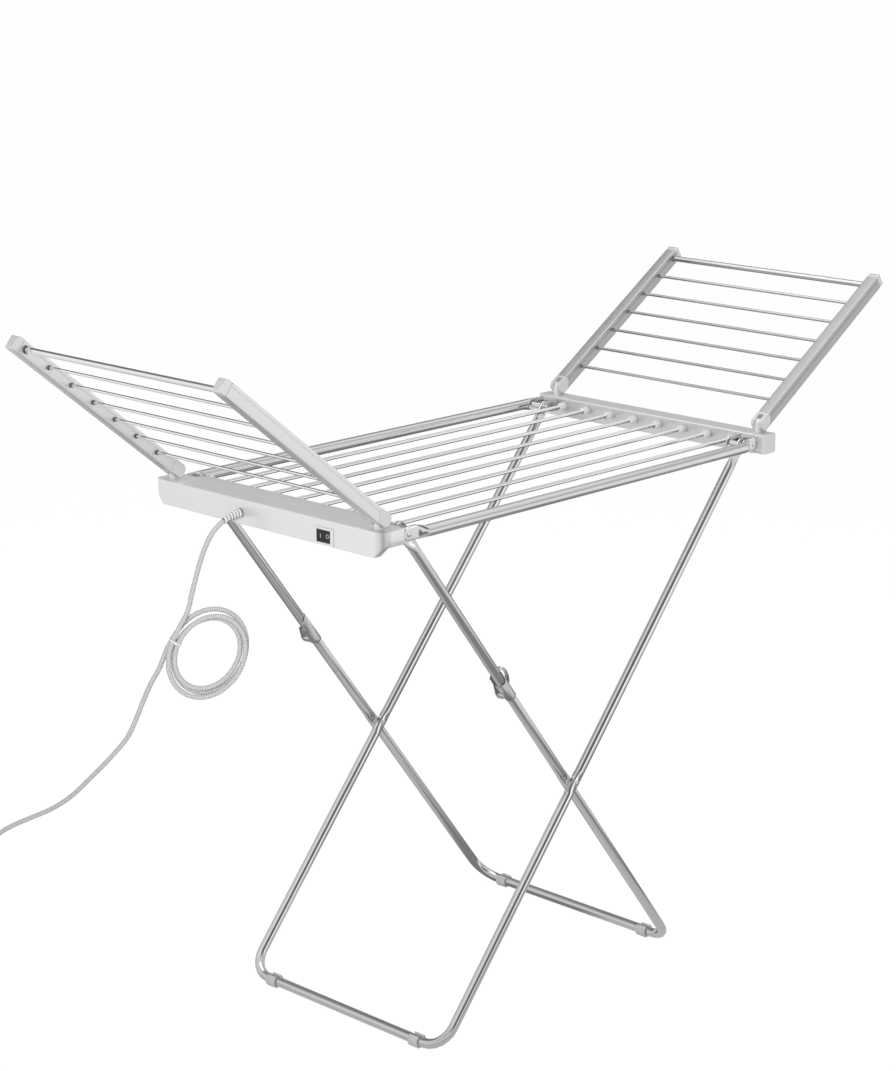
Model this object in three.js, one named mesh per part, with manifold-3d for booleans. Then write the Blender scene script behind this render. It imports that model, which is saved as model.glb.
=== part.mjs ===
// Heated clothes airer: a folding frame on two pairs of legs, a tray of eight heated bars and two rung wings.
// Units are millimetres. +X runs from the switch housing to the plain housing.
// +Z is up, and the floor is z = 0.

import * as THREE from 'three';
import { mergeVertices } from 'three/addons/utils/BufferGeometryUtils.js';
import Module from 'manifold-3d';

const wasm = await Module();
wasm.setup();

// Sizes of the tray
const railHeight = 906;
const railSpan = 523;
const railDiameter = 19;
const railRivetPastPivot = 17;
const railFlatThickness = 4;
const railFlatLength = 34;
const heatedBarDiameter = 7;
const heatedBarCount = 8;
const railToFirstBar = 62;
const heatedBarInsertion = 7;
const grommetDiameter = 15;
const grommetLength = 15;
const grommetDome = 3.5;

// Sizes of the legs
const legPivotSpan = 830;
const legDiameter = 17;
const railToLegGap = 2.8;
const legToLegGap = 2.6;
const kneeFootReach = 269;
const solidFootReach = 343;
const legBendRadius = 42;
const eyeThickness = 4;
const eyeRadius = 11.5;
const eyeFlatLength = 24;
const eyeTransition = 26;
const dimpleDepth = 2.2;
const dimpleLength = 46;
const crossRivetDiameter = 11;
const crossRivetHead = 1.6;

// Sizes of the pivots and brackets
const pivotPinDiameter = 6;
const runningClearance = 0.3;
const bracketThickness = 2;
const bracketEarRadius = 11;
const bracketHalfHeight = 11;
const bushDiameter = 10;
const rivetHeadDiameter = 10;
const rivetHeadHeight = 2.4;
const bracketDepth = 44;
const bracketReachLeft = 33;
const bracketReachRight = 32;

// Sizes of the knee
const kneeOffset = 11.5;
const kneeSheet = 1.2;
const kneeSheetGap = 0.3;
const kneeBracketAbove = 43.5;
const kneeBracketBelow = 17.5;
const kneeRivetBelow = 12;
const kneeEarRadius = 4.8;
const kneeCheekDrop = 9.4;
const kneeCheekSlant = 6;
const kneeFlangeAbove = 22;
const kneeMouthDepth = 22;
const kneeTubeSetback = 6.5;
const kneePinDiameter = 4.5;
const kneeLugWidth = 16.6;
const kneeLugLap = 1;
const kneeLugLength = 20;
const catchRise = 9;
const catchLength = 37;
const catchWidth = 8;
const catchThickness = 1.6;

// Sizes of the feet
const footWall = 2.5;
const footLength = 20;
const footInset = 58;
const footSlotAngle = 1.1;
const footShell = 1.2;

// Sizes of the switch housing
const housingNeckWidth = 48;
const housingBellyDepth = 21;
const housingPastRail = 3.5;
const housingAboveRail = 14;
const housingDepth = 42;
const housingNeckDepth = 27;
const housingNeckStep = 16;
const housingWall = 2.4;
const housingCorner = 17;
const housingChamfer = 21;
const housingEdge = 4;
const housingLip = 1;
const bellyPastBar = 7.5;
const bellyBlend = 8;
const baseThickness = 2.2;
const baseInset = 0.35;

// Sizes of the switch and the strain relief
const switchCentre = -136;
const switchDrop = 6;
const switchWidth = 42;
const switchDepthInside = 17;
const switchTall = 28;
const switchBodyInset = 2.4;
const bezelProud = 1.8;
const rockerWidth = 29;
const rockerTall = 20;
const rockerTilt = 8;
const reliefExit = 57;
const reliefDropFromMiddle = 3;
const reliefLength = 34;
const reliefRoot = 7.2;
const reliefTip = 5.2;
const reliefRibs = 6;
const reliefDrop = 7;
const reliefRibHeight = 1.1;
const reliefRootDepth = 4;
const rockerProud = 1.4;
const rockerThickness = 4.5;
const rockerDepth = 2.2;
const rockerRear = 2.6;
const wellDepth = 12.8;
const terminalLength = 72;
const terminalWidth = 16;
const terminalTall = 10;
const terminalPlace = 30;
const terminalCount = 4;
const terminalPost = 9.6;

// Sizes of the plain housing
const channelWidth = 40;
const channelDepth = 35;
const channelWall = 2.2;
const endBlockLength = 22;
const endBlockEdge = 7;
const spigotLength = 12;
const spigotPlay = 1.2;

// Sizes of the wings
const hingePastPivot = 59;
const hingeAboveHousing = 13.5;
const leftWingTilt = 38.7;
const rightWingTilt = 32.8;
const armInset = 27.5;
const armWidth = 23;
const armHeight = 24;
const armWall = 1.7;
const armCorner = 3;
const armStart = -4.5;
const armEnd = 396;
const armGrooveDepth = 0.7;
const armGrooveWidth = 2.4;
const rungFirst = 61.5;
const rungPitch = 54;
const rungCount = 7;
const rungDiameter = 5.4;
const endRungDiameter = 10.5;
const rungInsertion = 5;
const capLength = 12;
const capPlug = 4;
const capEdge = 6;
const grooveHeight = 3.4;
const knuckleBack = 10.5;
const knuckleFront = 20;
const knuckleLow = 10;
const knuckleHigh = 12;
const slotFront = 12.5;
const knuckleCutRadius = 17;
const knuckleCutForward = 2;
const knuckleCutUp = 6;
const knuckleRadius = 11;
const knucklePlug = 38;
const hingeEarWidth = 10;
const hingeEarRadius = 9.5;
const hingeSlot = 10.6;
const hingePinDiameter = 5;

// Sizes of the mains flex
const cordDiameter = 8;
const coilTurns = 3;
const coilHalfWidth = 64;
const coilHalfHeight = 76;
const coilPitchAcross = 10;
const coilPitchUp = 15;
const coilLeanShare = 0.17;
const coilLayer = 9;
const layerTurnShare = 0.25;
const coilStartAngle = 156;
const coilFacing = 228.8;
const coilCentre = [ - 552.3, 75.5, 669.2 ];
const plugAngle = 166;
const plugPlace = [ - 822, 704 ];
const plugLength = 36;
const plugWidth = 35;
const plugThickness = 18;
const plugNeckLength = 22;
const plugNeckRadius = 6.4;
const plugPinDiameter = 4.8;
const plugPinLength = 19;
const plugPinSpan = 19;

const cutOverrun = 3;
const roundSides = 14;
const smallSides = 10;
const thinSides = 8;

const railRadius = railDiameter / 2;
const railHalf = railSpan / 2;
const railRivetSpan = legPivotSpan + railRivetPastPivot * 2;
const heatedBarPitch = ( railSpan - railToFirstBar * 2 ) / ( heatedBarCount - 1 );
const bracketInnerEar = railHalf - bracketDepth;
const housingInnerReach = legPivotSpan / 2 + bracketReachLeft;
const housingOuterReach = housingInnerReach + housingNeckWidth;
const housingBellyReach = housingInnerReach - housingBellyDepth;
const housingHalfLength = railHalf + housingPastRail;
const bellyHalfLength = railHalf - railToFirstBar + bellyPastBar;
const housingTop = railHeight + housingAboveRail;
const housingBottom = housingTop - housingDepth;
const housingNeckBottom = housingTop - housingNeckDepth;
const housingMiddle = housingTop - housingDepth / 2;
const switchHeight = housingMiddle - switchDrop;
const reliefHeight = housingMiddle - reliefDropFromMiddle;
const channelTop = housingTop;
const channelBottom = channelTop - channelDepth;
const channelInnerReach = legPivotSpan / 2 + bracketReachRight;
const channelOuterReach = channelInnerReach + channelWidth;
const endBlockSeam = housingHalfLength - endBlockLength;
const wingHingeReach = legPivotSpan / 2 + hingePastPivot;
const wingHingeHeight = housingTop + hingeAboveHousing;
const legRadius = legDiameter / 2;
const legOuter = railHalf - railRadius - railToLegGap - legRadius;
const legInner = legOuter - legDiameter - legToLegGap;
const barHeight = legRadius + footWall;
const drop = railHeight - barHeight;
const kneeRun = legPivotSpan / 2 + kneeFootReach;
const solidRun = legPivotSpan / 2 + solidFootReach;
const kneeLegLength = Math.hypot(kneeRun, drop);
const solidLegLength = Math.hypot(solidRun, drop);
const crossShare = legPivotSpan / (kneeRun + solidRun);
const kneeCross = crossShare * kneeLegLength;
const solidCross = crossShare * solidLegLength;
const kneeDistance = (legPivotSpan + kneeCross - solidCross) / 2;
const kneeRivetPlace = kneeDistance + kneeRivetBelow;
const kneeFlangeDrop = kneeOffset + kneeEarRadius;
const armMiddle = housingHalfLength - armInset;
const armInnerFace = armMiddle - armWidth / 2;

// Turning shapes into solids and back

function toSolid( geometry ) {

	const bare = geometry.clone();
	bare.deleteAttribute( 'normal' );
	bare.deleteAttribute( 'uv' );
	const merged = mergeVertices( bare, 1e-4 );
	return new wasm.Manifold( new wasm.Mesh( {
		numProp: 3,
		vertProperties: new Float32Array( merged.attributes.position.array ),
		triVerts: new Uint32Array( merged.index.array ),
	} ) );

}

function toGeometry( solid ) {

	const mesh = solid.getMesh();
	const geometry = new THREE.BufferGeometry();
	const count = mesh.vertProperties.length / mesh.numProp;
	const position = new Float32Array( count * 3 );
	for ( let i = 0; i < count; i ++ ) {

		for ( let k = 0; k < 3; k ++ ) position[ i * 3 + k ] = mesh.vertProperties[ i * mesh.numProp + k ];

	}

	geometry.setAttribute( 'position', new THREE.BufferAttribute( position, 3 ) );
	geometry.setIndex( Array.from( mesh.triVerts ) );
	geometry.computeVertexNormals();
	return geometry;

}

function join( first, ...others ) {

	let solid = toSolid( first );
	for ( const other of others ) solid = solid.add( toSolid( other ) );
	return toGeometry( solid );

}

function cut( first, ...others ) {

	let solid = toSolid( first );
	for ( const other of others ) solid = solid.subtract( toSolid( other ) );
	return toGeometry( solid );

}

function overlap( first, ...others ) {

	let solid = toSolid( first );
	for ( const other of others ) solid = solid.intersect( toSolid( other ) );
	return toGeometry( solid );

}

// Basic forms

function block( low, high ) {

	const size = new THREE.Vector3().subVectors( high, low );
	const geometry = new THREE.BoxGeometry( size.x, size.y, size.z );
	geometry.translate( ( low.x + high.x ) / 2, ( low.y + high.y ) / 2, ( low.z + high.z ) / 2 );
	return geometry;

}

function vec( x, y, z ) {

	return new THREE.Vector3( x, y, z );

}

function rodAlongY( radius, low, high, x, z, sides = smallSides ) {

	const geometry = new THREE.CylinderGeometry( radius, radius, high - low, sides );
	geometry.translate( x, ( low + high ) / 2, z );
	return geometry;

}

function rodAlongX( radius, low, high, y, z, sides = smallSides ) {

	const geometry = new THREE.CylinderGeometry( radius, radius, high - low, sides );
	geometry.rotateZ( - Math.PI / 2 );
	geometry.translate( ( low + high ) / 2, y, z );
	return geometry;

}

function extruded( shape, depth, curveSegments ) {

	return new THREE.ExtrudeGeometry( shape, { depth, bevelEnabled: false, curveSegments } );

}

// Two places in rising order, whichever side of the middle they lie on.
function ordered( first, second ) {

	return [ Math.min( first, second ), Math.max( first, second ) ];

}

// Extrudes an outline drawn in X and Z along Y.
function extrudeAlongY( shape, low, high, curveSegments = 6 ) {

	const geometry = extruded( shape, high - low, curveSegments );
	geometry.rotateX( Math.PI / 2 );
	geometry.translate( 0, high, 0 );
	return geometry;

}

// Extrudes an outline drawn in X and Y along Z.
function extrudeAlongZ( shape, low, high, curveSegments = 6 ) {

	const geometry = extruded( shape, high - low, curveSegments );
	geometry.translate( 0, 0, low );
	return geometry;

}

// Extrudes an outline drawn in Y and Z along X.
function extrudeAlongX( shape, low, high, curveSegments = 6 ) {

	const geometry = extruded( shape, high - low, curveSegments );
	geometry.rotateX( Math.PI / 2 );
	geometry.rotateZ( Math.PI / 2 );
	geometry.translate( low, 0, 0 );
	return geometry;

}

// An outline through corners, each given as x, y and the radius that rounds it.
function roundedOutline( corners ) {

	const shape = new THREE.Shape();
	const count = corners.length;
	corners.forEach( ( [ x, y, radius ], i ) => {

		const before = corners[ ( i + count - 1 ) % count ];
		const after = corners[ ( i + 1 ) % count ];
		const here = new THREE.Vector2( x, y );
		const back = new THREE.Vector2( before[ 0 ] - x, before[ 1 ] - y );
		const ahead = new THREE.Vector2( after[ 0 ] - x, after[ 1 ] - y );
		const limit = Math.min( back.length(), ahead.length() ) * 0.49;
		const turn = Math.PI - Math.acos( back.clone().normalize().dot( ahead.clone().normalize() ) );
		const setback = Math.min( radius * Math.tan( turn / 2 ), limit );
		const start = here.clone().add( back.normalize().multiplyScalar( setback ) );
		const end = here.clone().add( ahead.normalize().multiplyScalar( setback ) );
		if ( i === 0 ) shape.moveTo( start.x, start.y );
		else shape.lineTo( start.x, start.y );
		if ( setback > 0 ) shape.quadraticCurveTo( x, y, end.x, end.y );

	} );
	shape.closePath();
	return shape;

}

function superCircle( angle, power ) {

	const c = Math.cos( angle );
	const s = Math.sin( angle );
	return [ Math.sign( c ) * Math.abs( c ) ** power, Math.sign( s ) * Math.abs( s ) ** power ];

}

// Joins rings into one closed skin. A ring has a centre, two directions, its half sizes and how square it is.
function skin( rings, sides = roundSides ) {

	const position = [];
	const index = [];
	for ( const ring of rings ) {

		for ( let i = 0; i < sides; i ++ ) {

			const [ c, s ] = superCircle( ( i + 0.5 ) * 2 * Math.PI / sides, ring.power ?? 1 );
			const across = c * ( c > 0 ? ring.right : ring.left );
			const up = s * ring.rise;
			const point = ring.centre.clone().addScaledVector( ring.across, across ).addScaledVector( ring.up, up );
			position.push( ...point.toArray() );

		}

	}

	for ( let r = 0; r < rings.length - 1; r ++ ) {

		for ( let i = 0; i < sides; i ++ ) {

			const a = r * sides + i;
			const b = r * sides + ( i + 1 ) % sides;
			index.push( a, a + sides, b, b, a + sides, b + sides );

		}

	}

	const last = ( rings.length - 1 ) * sides;
	for ( let i = 1; i < sides - 1; i ++ ) {

		index.push( 0, i, i + 1 );
		index.push( last, last + i + 1, last + i );

	}

	const geometry = new THREE.BufferGeometry();
	geometry.setAttribute( 'position', new THREE.Float32BufferAttribute( position, 3 ) );
	geometry.setIndex( index );
	if ( toSolid( geometry ).volume() < 0 ) geometry.setIndex( flipped( index ) );
	return geometry;

}

function flipped( index ) {

	const turned = [];
	for ( let i = 0; i < index.length; i += 3 ) turned.push( index[ i ], index[ i + 2 ], index[ i + 1 ] );
	return turned;

}

// A turned piece: the profile gives radius and height from one end of the axis to the other.
function turned( profile, sides = smallSides ) {

	const geometry = new THREE.LatheGeometry( profile.map( ( [ r, h ] ) => new THREE.Vector2( r, h ) ), sides );
	const bare = new THREE.BufferGeometry();
	bare.setAttribute( 'position', geometry.attributes.position );
	bare.setIndex( geometry.index );
	const merged = mergeVertices( bare, 1e-4 );
	const kept = [];
	const index = merged.index.array;
	for ( let i = 0; i < index.length; i += 3 ) {

		const [ a, b, c ] = [ index[ i ], index[ i + 1 ], index[ i + 2 ] ];
		if ( a !== b && b !== c && c !== a ) kept.push( a, b, c );

	}

	merged.setIndex( kept );
	if ( toSolid( merged ).volume() < 0 ) merged.setIndex( flipped( kept ) );
	return merged;

}

// A low domed head on a short shank, standing out from a face that looks along Y.
function rivetHead( x, z, face, direction, diameter = rivetHeadDiameter, height = rivetHeadHeight ) {

	const radius = diameter / 2;
	const shoulderShares = [ 0.82, 0.62 ];
	const crownShare = 0.4;
	const geometry = turned( [
		[ 0, - height ],
		[ radius, - height ],
		[ radius, 0 ],
		[ radius * shoulderShares[ 0 ], height * shoulderShares[ 1 ] ],
		[ radius * crownShare, height ],
		[ 0, height ],
	] );
	if ( direction < 0 ) geometry.rotateX( Math.PI );
	geometry.translate( x, face, z );
	return geometry;

}

function part( name, geometry, material ) {

	const mesh = new THREE.Mesh( geometry, material );
	mesh.name = name;
	return mesh;

}

// Materials
const brightSteel = new THREE.MeshStandardMaterial( { color: 0xc9cacb, roughness: 0.22, metalness: 1 } );
const zincSteel = new THREE.MeshStandardMaterial( { color: 0xb4b4ae, roughness: 0.4, metalness: 1 } );
const heatedSteel = new THREE.MeshStandardMaterial( { color: 0xdde8f2, roughness: 0.25, metalness: 0.8 } );
const satinAluminium = new THREE.MeshStandardMaterial( { color: 0xbfc0c1, roughness: 0.45, metalness: 0.9 } );
const silverPlastic = new THREE.MeshStandardMaterial( { color: 0xcfd0d0, roughness: 0.5, metalness: 0.1 } );
const palePlastic = new THREE.MeshStandardMaterial( { color: 0xe2e2e2, roughness: 0.5, metalness: 0 } );
const blackPlastic = new THREE.MeshStandardMaterial( { color: 0x1b1d1e, roughness: 0.4, metalness: 0 } );
const braid = new THREE.MeshStandardMaterial( { color: 0xd8d8d6, roughness: 0.85, metalness: 0 } );

// Tubes of the legs and rails

// One ring of a leg tube at a place along it, with the tube's own width and rise.
function tubeRing( centre, across, shape ) {

	return { centre, across, up: vec( 0, 0, 1 ), ...shape };

}

const roundTube = { right: legRadius, left: legRadius, rise: legRadius, power: 1 };

// Rings of a flattened eye at u = 0 that widens into a round tube; side is +1 or -1 along Y.
function eyeRings( y, direction ) {

	const squareness = 0.35;
	const flatHalf = eyeThickness / 2;
	const rings = [];
	const tipAngles = [ 25, 50, 75 ];
	for ( const degrees of tipAngles ) {

		const angle = THREE.MathUtils.degToRad( degrees );
		rings.push( [ - eyeRadius * Math.cos( angle ), flatHalf, eyeRadius * Math.sin( angle ), squareness ] );

	}

	rings.push( [ eyeFlatLength, flatHalf, eyeRadius, squareness ] );
	const steps = 4;
	for ( let i = 1; i <= steps; i ++ ) {

		const share = i / steps;
		const ease = share * share * ( 3 - 2 * share );
		rings.push( [
			eyeFlatLength + eyeTransition * share,
			THREE.MathUtils.lerp( flatHalf, legRadius, ease ),
			THREE.MathUtils.lerp( eyeRadius, legRadius, ease ),
			THREE.MathUtils.lerp( squareness, 1, Math.sqrt( ease ) ),
		] );

	}

	const across = vec( 0, direction, 0 );
	return rings.map( ( [ u, half, rise, power ] ) => {

		const shape = { right: half, left: half, rise, power };
		return tubeRing( vec( u, y, 0 ), across, shape );

	} );

}

// Rings of the pinched stretch where two legs cross and are riveted.
function dimpleRings( u, y, direction ) {

	const depthShares = [ 0, 0.75, 1, 0.75, 0 ];
	const placeShares = [ - 0.5, - 0.28, 0, 0.28, 0.5 ];
	const bulgeShare = 0.4;
	const squareShare = 0.35;
	return placeShares.map( ( place, i ) => {

		const half = legRadius - dimpleDepth * depthShares[ i ];
		const rise = legRadius + dimpleDepth * depthShares[ i ] * bulgeShare;
		const shape = { right: half, left: half, rise, power: 1 - squareShare * depthShares[ i ] };
		return tubeRing( vec( u + dimpleLength * place, y, 0 ), vec( 0, direction, 0 ), shape );

	} );

}

// Rings round the bent foot of a frame, from one leg over the floor bar to the other.
function footRings( length, yFrom, yTo ) {

	const steps = 6;
	const sense = Math.sign( yTo - yFrom );
	const rings = [];
	for ( const [ yLeg, start ] of [ [ yFrom, 0 ], [ yTo, Math.PI / 2 ] ] ) {

		const inward = yLeg === yFrom ? sense : - sense;
		const middle = vec( length - legBendRadius, yLeg + inward * legBendRadius, 0 );
		for ( let i = 0; i <= steps; i ++ ) {

			const angle = start + i / steps * Math.PI / 2;
			const out = vec( Math.sin( angle ), - sense * Math.cos( angle ), 0 );
			const centre = middle.clone().addScaledVector( out, legBendRadius );
			rings.push( tubeRing( centre, out.clone().multiplyScalar( - 1 ), roundTube ) );

		}

	}

	return rings;

}

// The domed head outside a crossing and the collar that bears against the other leg.
function crossingRivet( u, y, towardOther ) {

	const pinched = legRadius - dimpleDepth;
	const meeting = y + towardOther * ( legRadius + legToLegGap / 2 - runningClearance / 2 );
	const collar = rodAlongY( crossRivetDiameter / 2, ...ordered( y, meeting ), u, 0 );
	const face = y - towardOther * pinched;
	const head = rivetHead( u, 0, face, - towardOther, crossRivetDiameter, crossRivetHead );
	return [ collar, head ];

}

function eyeHole( y ) {

	const radius = pivotPinDiameter / 2 + runningClearance;
	return rodAlongY( radius, y - legRadius, y + legRadius, 0, 0 );

}

// The undivided leg frame, drawn along +X from its pivots.
function solidFrame() {

	const yFrom = - legOuter;
	const yTo = legInner;
	const near = eyeRings( yFrom, 1 ).concat( dimpleRings( solidCross, yFrom, 1 ) );
	const far = eyeRings( yTo, - 1 ).concat( dimpleRings( solidCross, yTo, - 1 ) ).reverse();
	const tube = skin( [ ...near, ...footRings( solidLegLength, yFrom, yTo ), ...far ] );
	const rivets = [ ...crossingRivet( solidCross, yFrom, 1 ), ...crossingRivet( solidCross, yTo, 1 ) ];
	return cut( join( tube, ...rivets ), eyeHole( yFrom ), eyeHole( yTo ) );

}

// The lower half of the jointed leg frame, below its knees.
function lowerFrame() {

	const start = kneeDistance + kneeTubeSetback;
	const first = ( y, direction ) => tubeRing( vec( start, y, 0 ), vec( 0, direction, 0 ), roundTube );
	const yFrom = - legInner;
	const yTo = legOuter;
	const near = [ first( yFrom, 1 ) ].concat( dimpleRings( kneeCross, yFrom, 1 ) );
	const far = [ first( yTo, - 1 ) ].concat( dimpleRings( kneeCross, yTo, - 1 ) ).reverse();
	const tube = skin( [ ...near, ...footRings( kneeLegLength, yFrom, yTo ), ...far ] );
	const rivets = [ ...crossingRivet( kneeCross, yFrom, - 1 ), ...crossingRivet( kneeCross, yTo, - 1 ) ];
	const radius = kneePinDiameter / 2 + runningClearance;
	const span = legOuter + legDiameter;
	return cut( join( tube, ...rivets ), rodAlongY( radius, - span, span, kneeRivetPlace, 0 ) );

}

// One upper link of the jointed leg, with the lug that carries the knee pin.
function upperLink( y ) {

	const end = kneeDistance - runningClearance;
	const rings = eyeRings( y, 1 );
	rings.push( tubeRing( vec( end, y, 0 ), vec( 0, 1, 0 ), roundTube ) );
	const low = y - kneeLugWidth / 2;
	const high = y + kneeLugWidth / 2;
	const disc = rodAlongY( kneeEarRadius, low, high, kneeDistance, - kneeOffset, roundSides );
	const web = new THREE.Shape( [
		new THREE.Vector2( end - kneeLugLength, - legRadius / 2 ),
		new THREE.Vector2( end - kneeLugLength, - legRadius - kneeLugLap ),
		new THREE.Vector2( end - kneeEarRadius, - kneeOffset - kneeLugLap ),
		new THREE.Vector2( kneeDistance, - kneeOffset ),
		new THREE.Vector2( kneeDistance, - kneeOffset + kneeEarRadius / 2 ),
		new THREE.Vector2( end - kneeLugLap, - legRadius / 2 ),
	] );
	const body = join( skin( rings ), disc, extrudeAlongY( web, low, high ) );
	const radius = kneePinDiameter / 2 + runningClearance;
	const pinHole = rodAlongY( radius, low - cutOverrun, high + cutOverrun, kneeDistance, - kneeOffset );
	return cut( body, eyeHole( y ), pinHole );

}

// The folded sheet bracket of one knee; outward is the side that faces away from the tray's middle.
// Only the near one carries the sprung loop that releases the knees.
function kneeBracket( y, outward, sprung ) {

	const inside = legRadius + kneeSheetGap;
	const outside = inside + kneeSheet;
	const low = kneeDistance - kneeBracketAbove;
	const high = kneeDistance + kneeBracketBelow;
	const roof = new THREE.Shape();
	roof.moveTo( y + outside, 0 );
	roof.absarc( y, 0, outside, 0, Math.PI, false );
	roof.lineTo( y - inside, 0 );
	roof.absarc( y, 0, inside, Math.PI, 0, true );
	roof.closePath();
	const cheekOutline = roundedOutline( [
		[ low, kneeSheet, 0 ],
		[ low + kneeCheekSlant, - kneeCheekDrop, kneeSheet ],
		[ kneeDistance - kneeFlangeAbove, - kneeCheekDrop, kneeEarRadius ],
		[ kneeDistance - kneeEarRadius, - kneeFlangeDrop, kneeEarRadius ],
		[ kneeDistance + kneeEarRadius, - kneeFlangeDrop, kneeEarRadius ],
		[ high, - legRadius, kneeEarRadius ],
		[ high, kneeSheet, 0 ],
	] );
	const cheeks = [ - 1, 1 ].map( ( side ) => {

		const faces = [ y + side * inside, y + side * outside ];
		return extrudeAlongY( cheekOutline, ...ordered( ...faces ), 2 );

	} );
	const pin = rodAlongY( kneePinDiameter / 2, y - outside, y + outside, kneeDistance, - kneeOffset );
	const rivet = rodAlongY( kneePinDiameter / 2, y - outside, y + outside, kneeRivetPlace, 0 );
	const shell = join( extrudeAlongX( roof, low, high, 8 ), ...cheeks, pin, rivet );
	const mouth = new THREE.Shape();
	const mouthEnd = low + kneeMouthDepth;
	mouth.moveTo( low - cutOverrun, - kneeFlangeDrop );
	mouth.lineTo( mouthEnd - legRadius, - kneeFlangeDrop );
	mouth.quadraticCurveTo( mouthEnd, - kneeCheekDrop, mouthEnd, - kneeSheet );
	mouth.quadraticCurveTo( mouthEnd, legRadius / 2, mouthEnd - legRadius, legRadius / 2 );
	mouth.lineTo( low - cutOverrun, legRadius / 2 );
	mouth.closePath();
	const mouthFaces = [ y + outward * legRadius / 2, y + outward * ( outside + cutOverrun ) ];
	const scoop = extrudeAlongY( mouth, ...ordered( ...mouthFaces ) );
	const bracket = cut( shell, scoop );
	return sprung ? join( bracket, kneeCatch( y, outside ) ) : bracket;

}

// The sprung release loop that arches over the top of a knee bracket.
function kneeCatch( y, above ) {

	const from = kneeDistance - kneeBracketAbove;
	const catchPeakShare = 0.35;
	const catchBendShare = 0.8;
	const peak = from + catchLength * catchPeakShare;
	const bend = from + catchLength * catchBendShare;
	const foot = above - catchThickness / 2;
	const top = above + catchRise;
	const under = top - catchThickness;
	const inner = from + catchThickness;
	const end = from + catchLength;
	const outline = new THREE.Shape();
	outline.moveTo( from, foot );
	outline.quadraticCurveTo( from - catchThickness, top, peak, top );
	outline.quadraticCurveTo( bend, top, end, foot );
	outline.lineTo( end - catchThickness - catchThickness, foot );
	outline.quadraticCurveTo( bend - catchThickness - catchThickness, under, peak, under );
	outline.quadraticCurveTo( inner, under, inner + catchThickness / 2, foot );
	outline.closePath();
	return extrudeAlongY( outline, y - catchWidth / 2, y + catchWidth / 2, 3 );

}

// A plastic clip round a floor bar, cut flat where it stands.
function footClip( x, middle ) {

	const outer = barHeight + footShell;
	const inner = legRadius + runningClearance;
	const shape = new THREE.Shape();
	const flat = Math.acos( barHeight / outer );
	const open = footSlotAngle / 2;
	shape.absarc( 0, 0, outer, Math.PI / 2 + open, Math.PI * 3 / 2 - flat, false );
	shape.lineTo( outer * Math.sin( flat ), - barHeight );
	shape.absarc( 0, 0, outer, - Math.PI / 2 + flat, Math.PI / 2 - open, false );
	shape.lineTo( inner * Math.sin( open ), inner * Math.cos( open ) );
	shape.absarc( 0, 0, inner, Math.PI / 2 - open, - Math.PI * 3 / 2 + open, true );
	shape.closePath();
	const geometry = extrudeAlongY( shape, middle - footLength / 2, middle + footLength / 2, 7 );
	geometry.translate( x, 0, barHeight );
	return geometry;

}

// Rails, with the brackets that the legs turn on

function railRings( side ) {

	const squareness = 0.35;
	const flatCentre = side * ( railHalf - railRadius + railFlatThickness / 2 );
	const riseShare = 1.22;
	const flatShare = 0.45;
	const flatRise = railRadius * riseShare;
	const ends = [];
	const tip = railRivetSpan / 2;
	const tipAngles = [ 28, 55, 90 ];
	for ( const degrees of tipAngles ) {

		const angle = THREE.MathUtils.degToRad( degrees );
		ends.push( [ tip + railRadius * Math.cos( angle ), 1, flatRise * Math.sin( angle ) ] );

	}

	ends.push( [ tip - railFlatLength * flatShare, 1, flatRise ] );
	const stepShares = [ 0.3, 0.6, 1 ];
	for ( const share of stepShares ) {

		const ease = share * share * ( 3 - 2 * share );
		const back = railFlatLength * THREE.MathUtils.lerp( flatShare, 1, share );
		ends.push( [ tip - back, 1 - ease, THREE.MathUtils.lerp( flatRise, railRadius, ease ) ] );

	}

	const ring = ( x, flatness, rise ) => {

		const halfWidth = THREE.MathUtils.lerp( railRadius, railFlatThickness / 2, flatness );
		const y = THREE.MathUtils.lerp( side * railHalf, flatCentre, flatness );
		return {
			centre: vec( x, y, railHeight ),
			across: vec( 0, 1, 0 ),
			up: vec( 0, 0, 1 ),
			right: halfWidth,
			left: halfWidth,
			rise,
			power: THREE.MathUtils.lerp( 1, squareness, flatness ),
		};

	};

	const right = ends.map( ( [ x, flatness, rise ] ) => ring( x, flatness, rise ) );
	const left = ends.map( ( [ x, flatness, rise ] ) => ring( - x, flatness, rise ) ).reverse();
	return [ ...right, ...left ];

}

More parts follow.
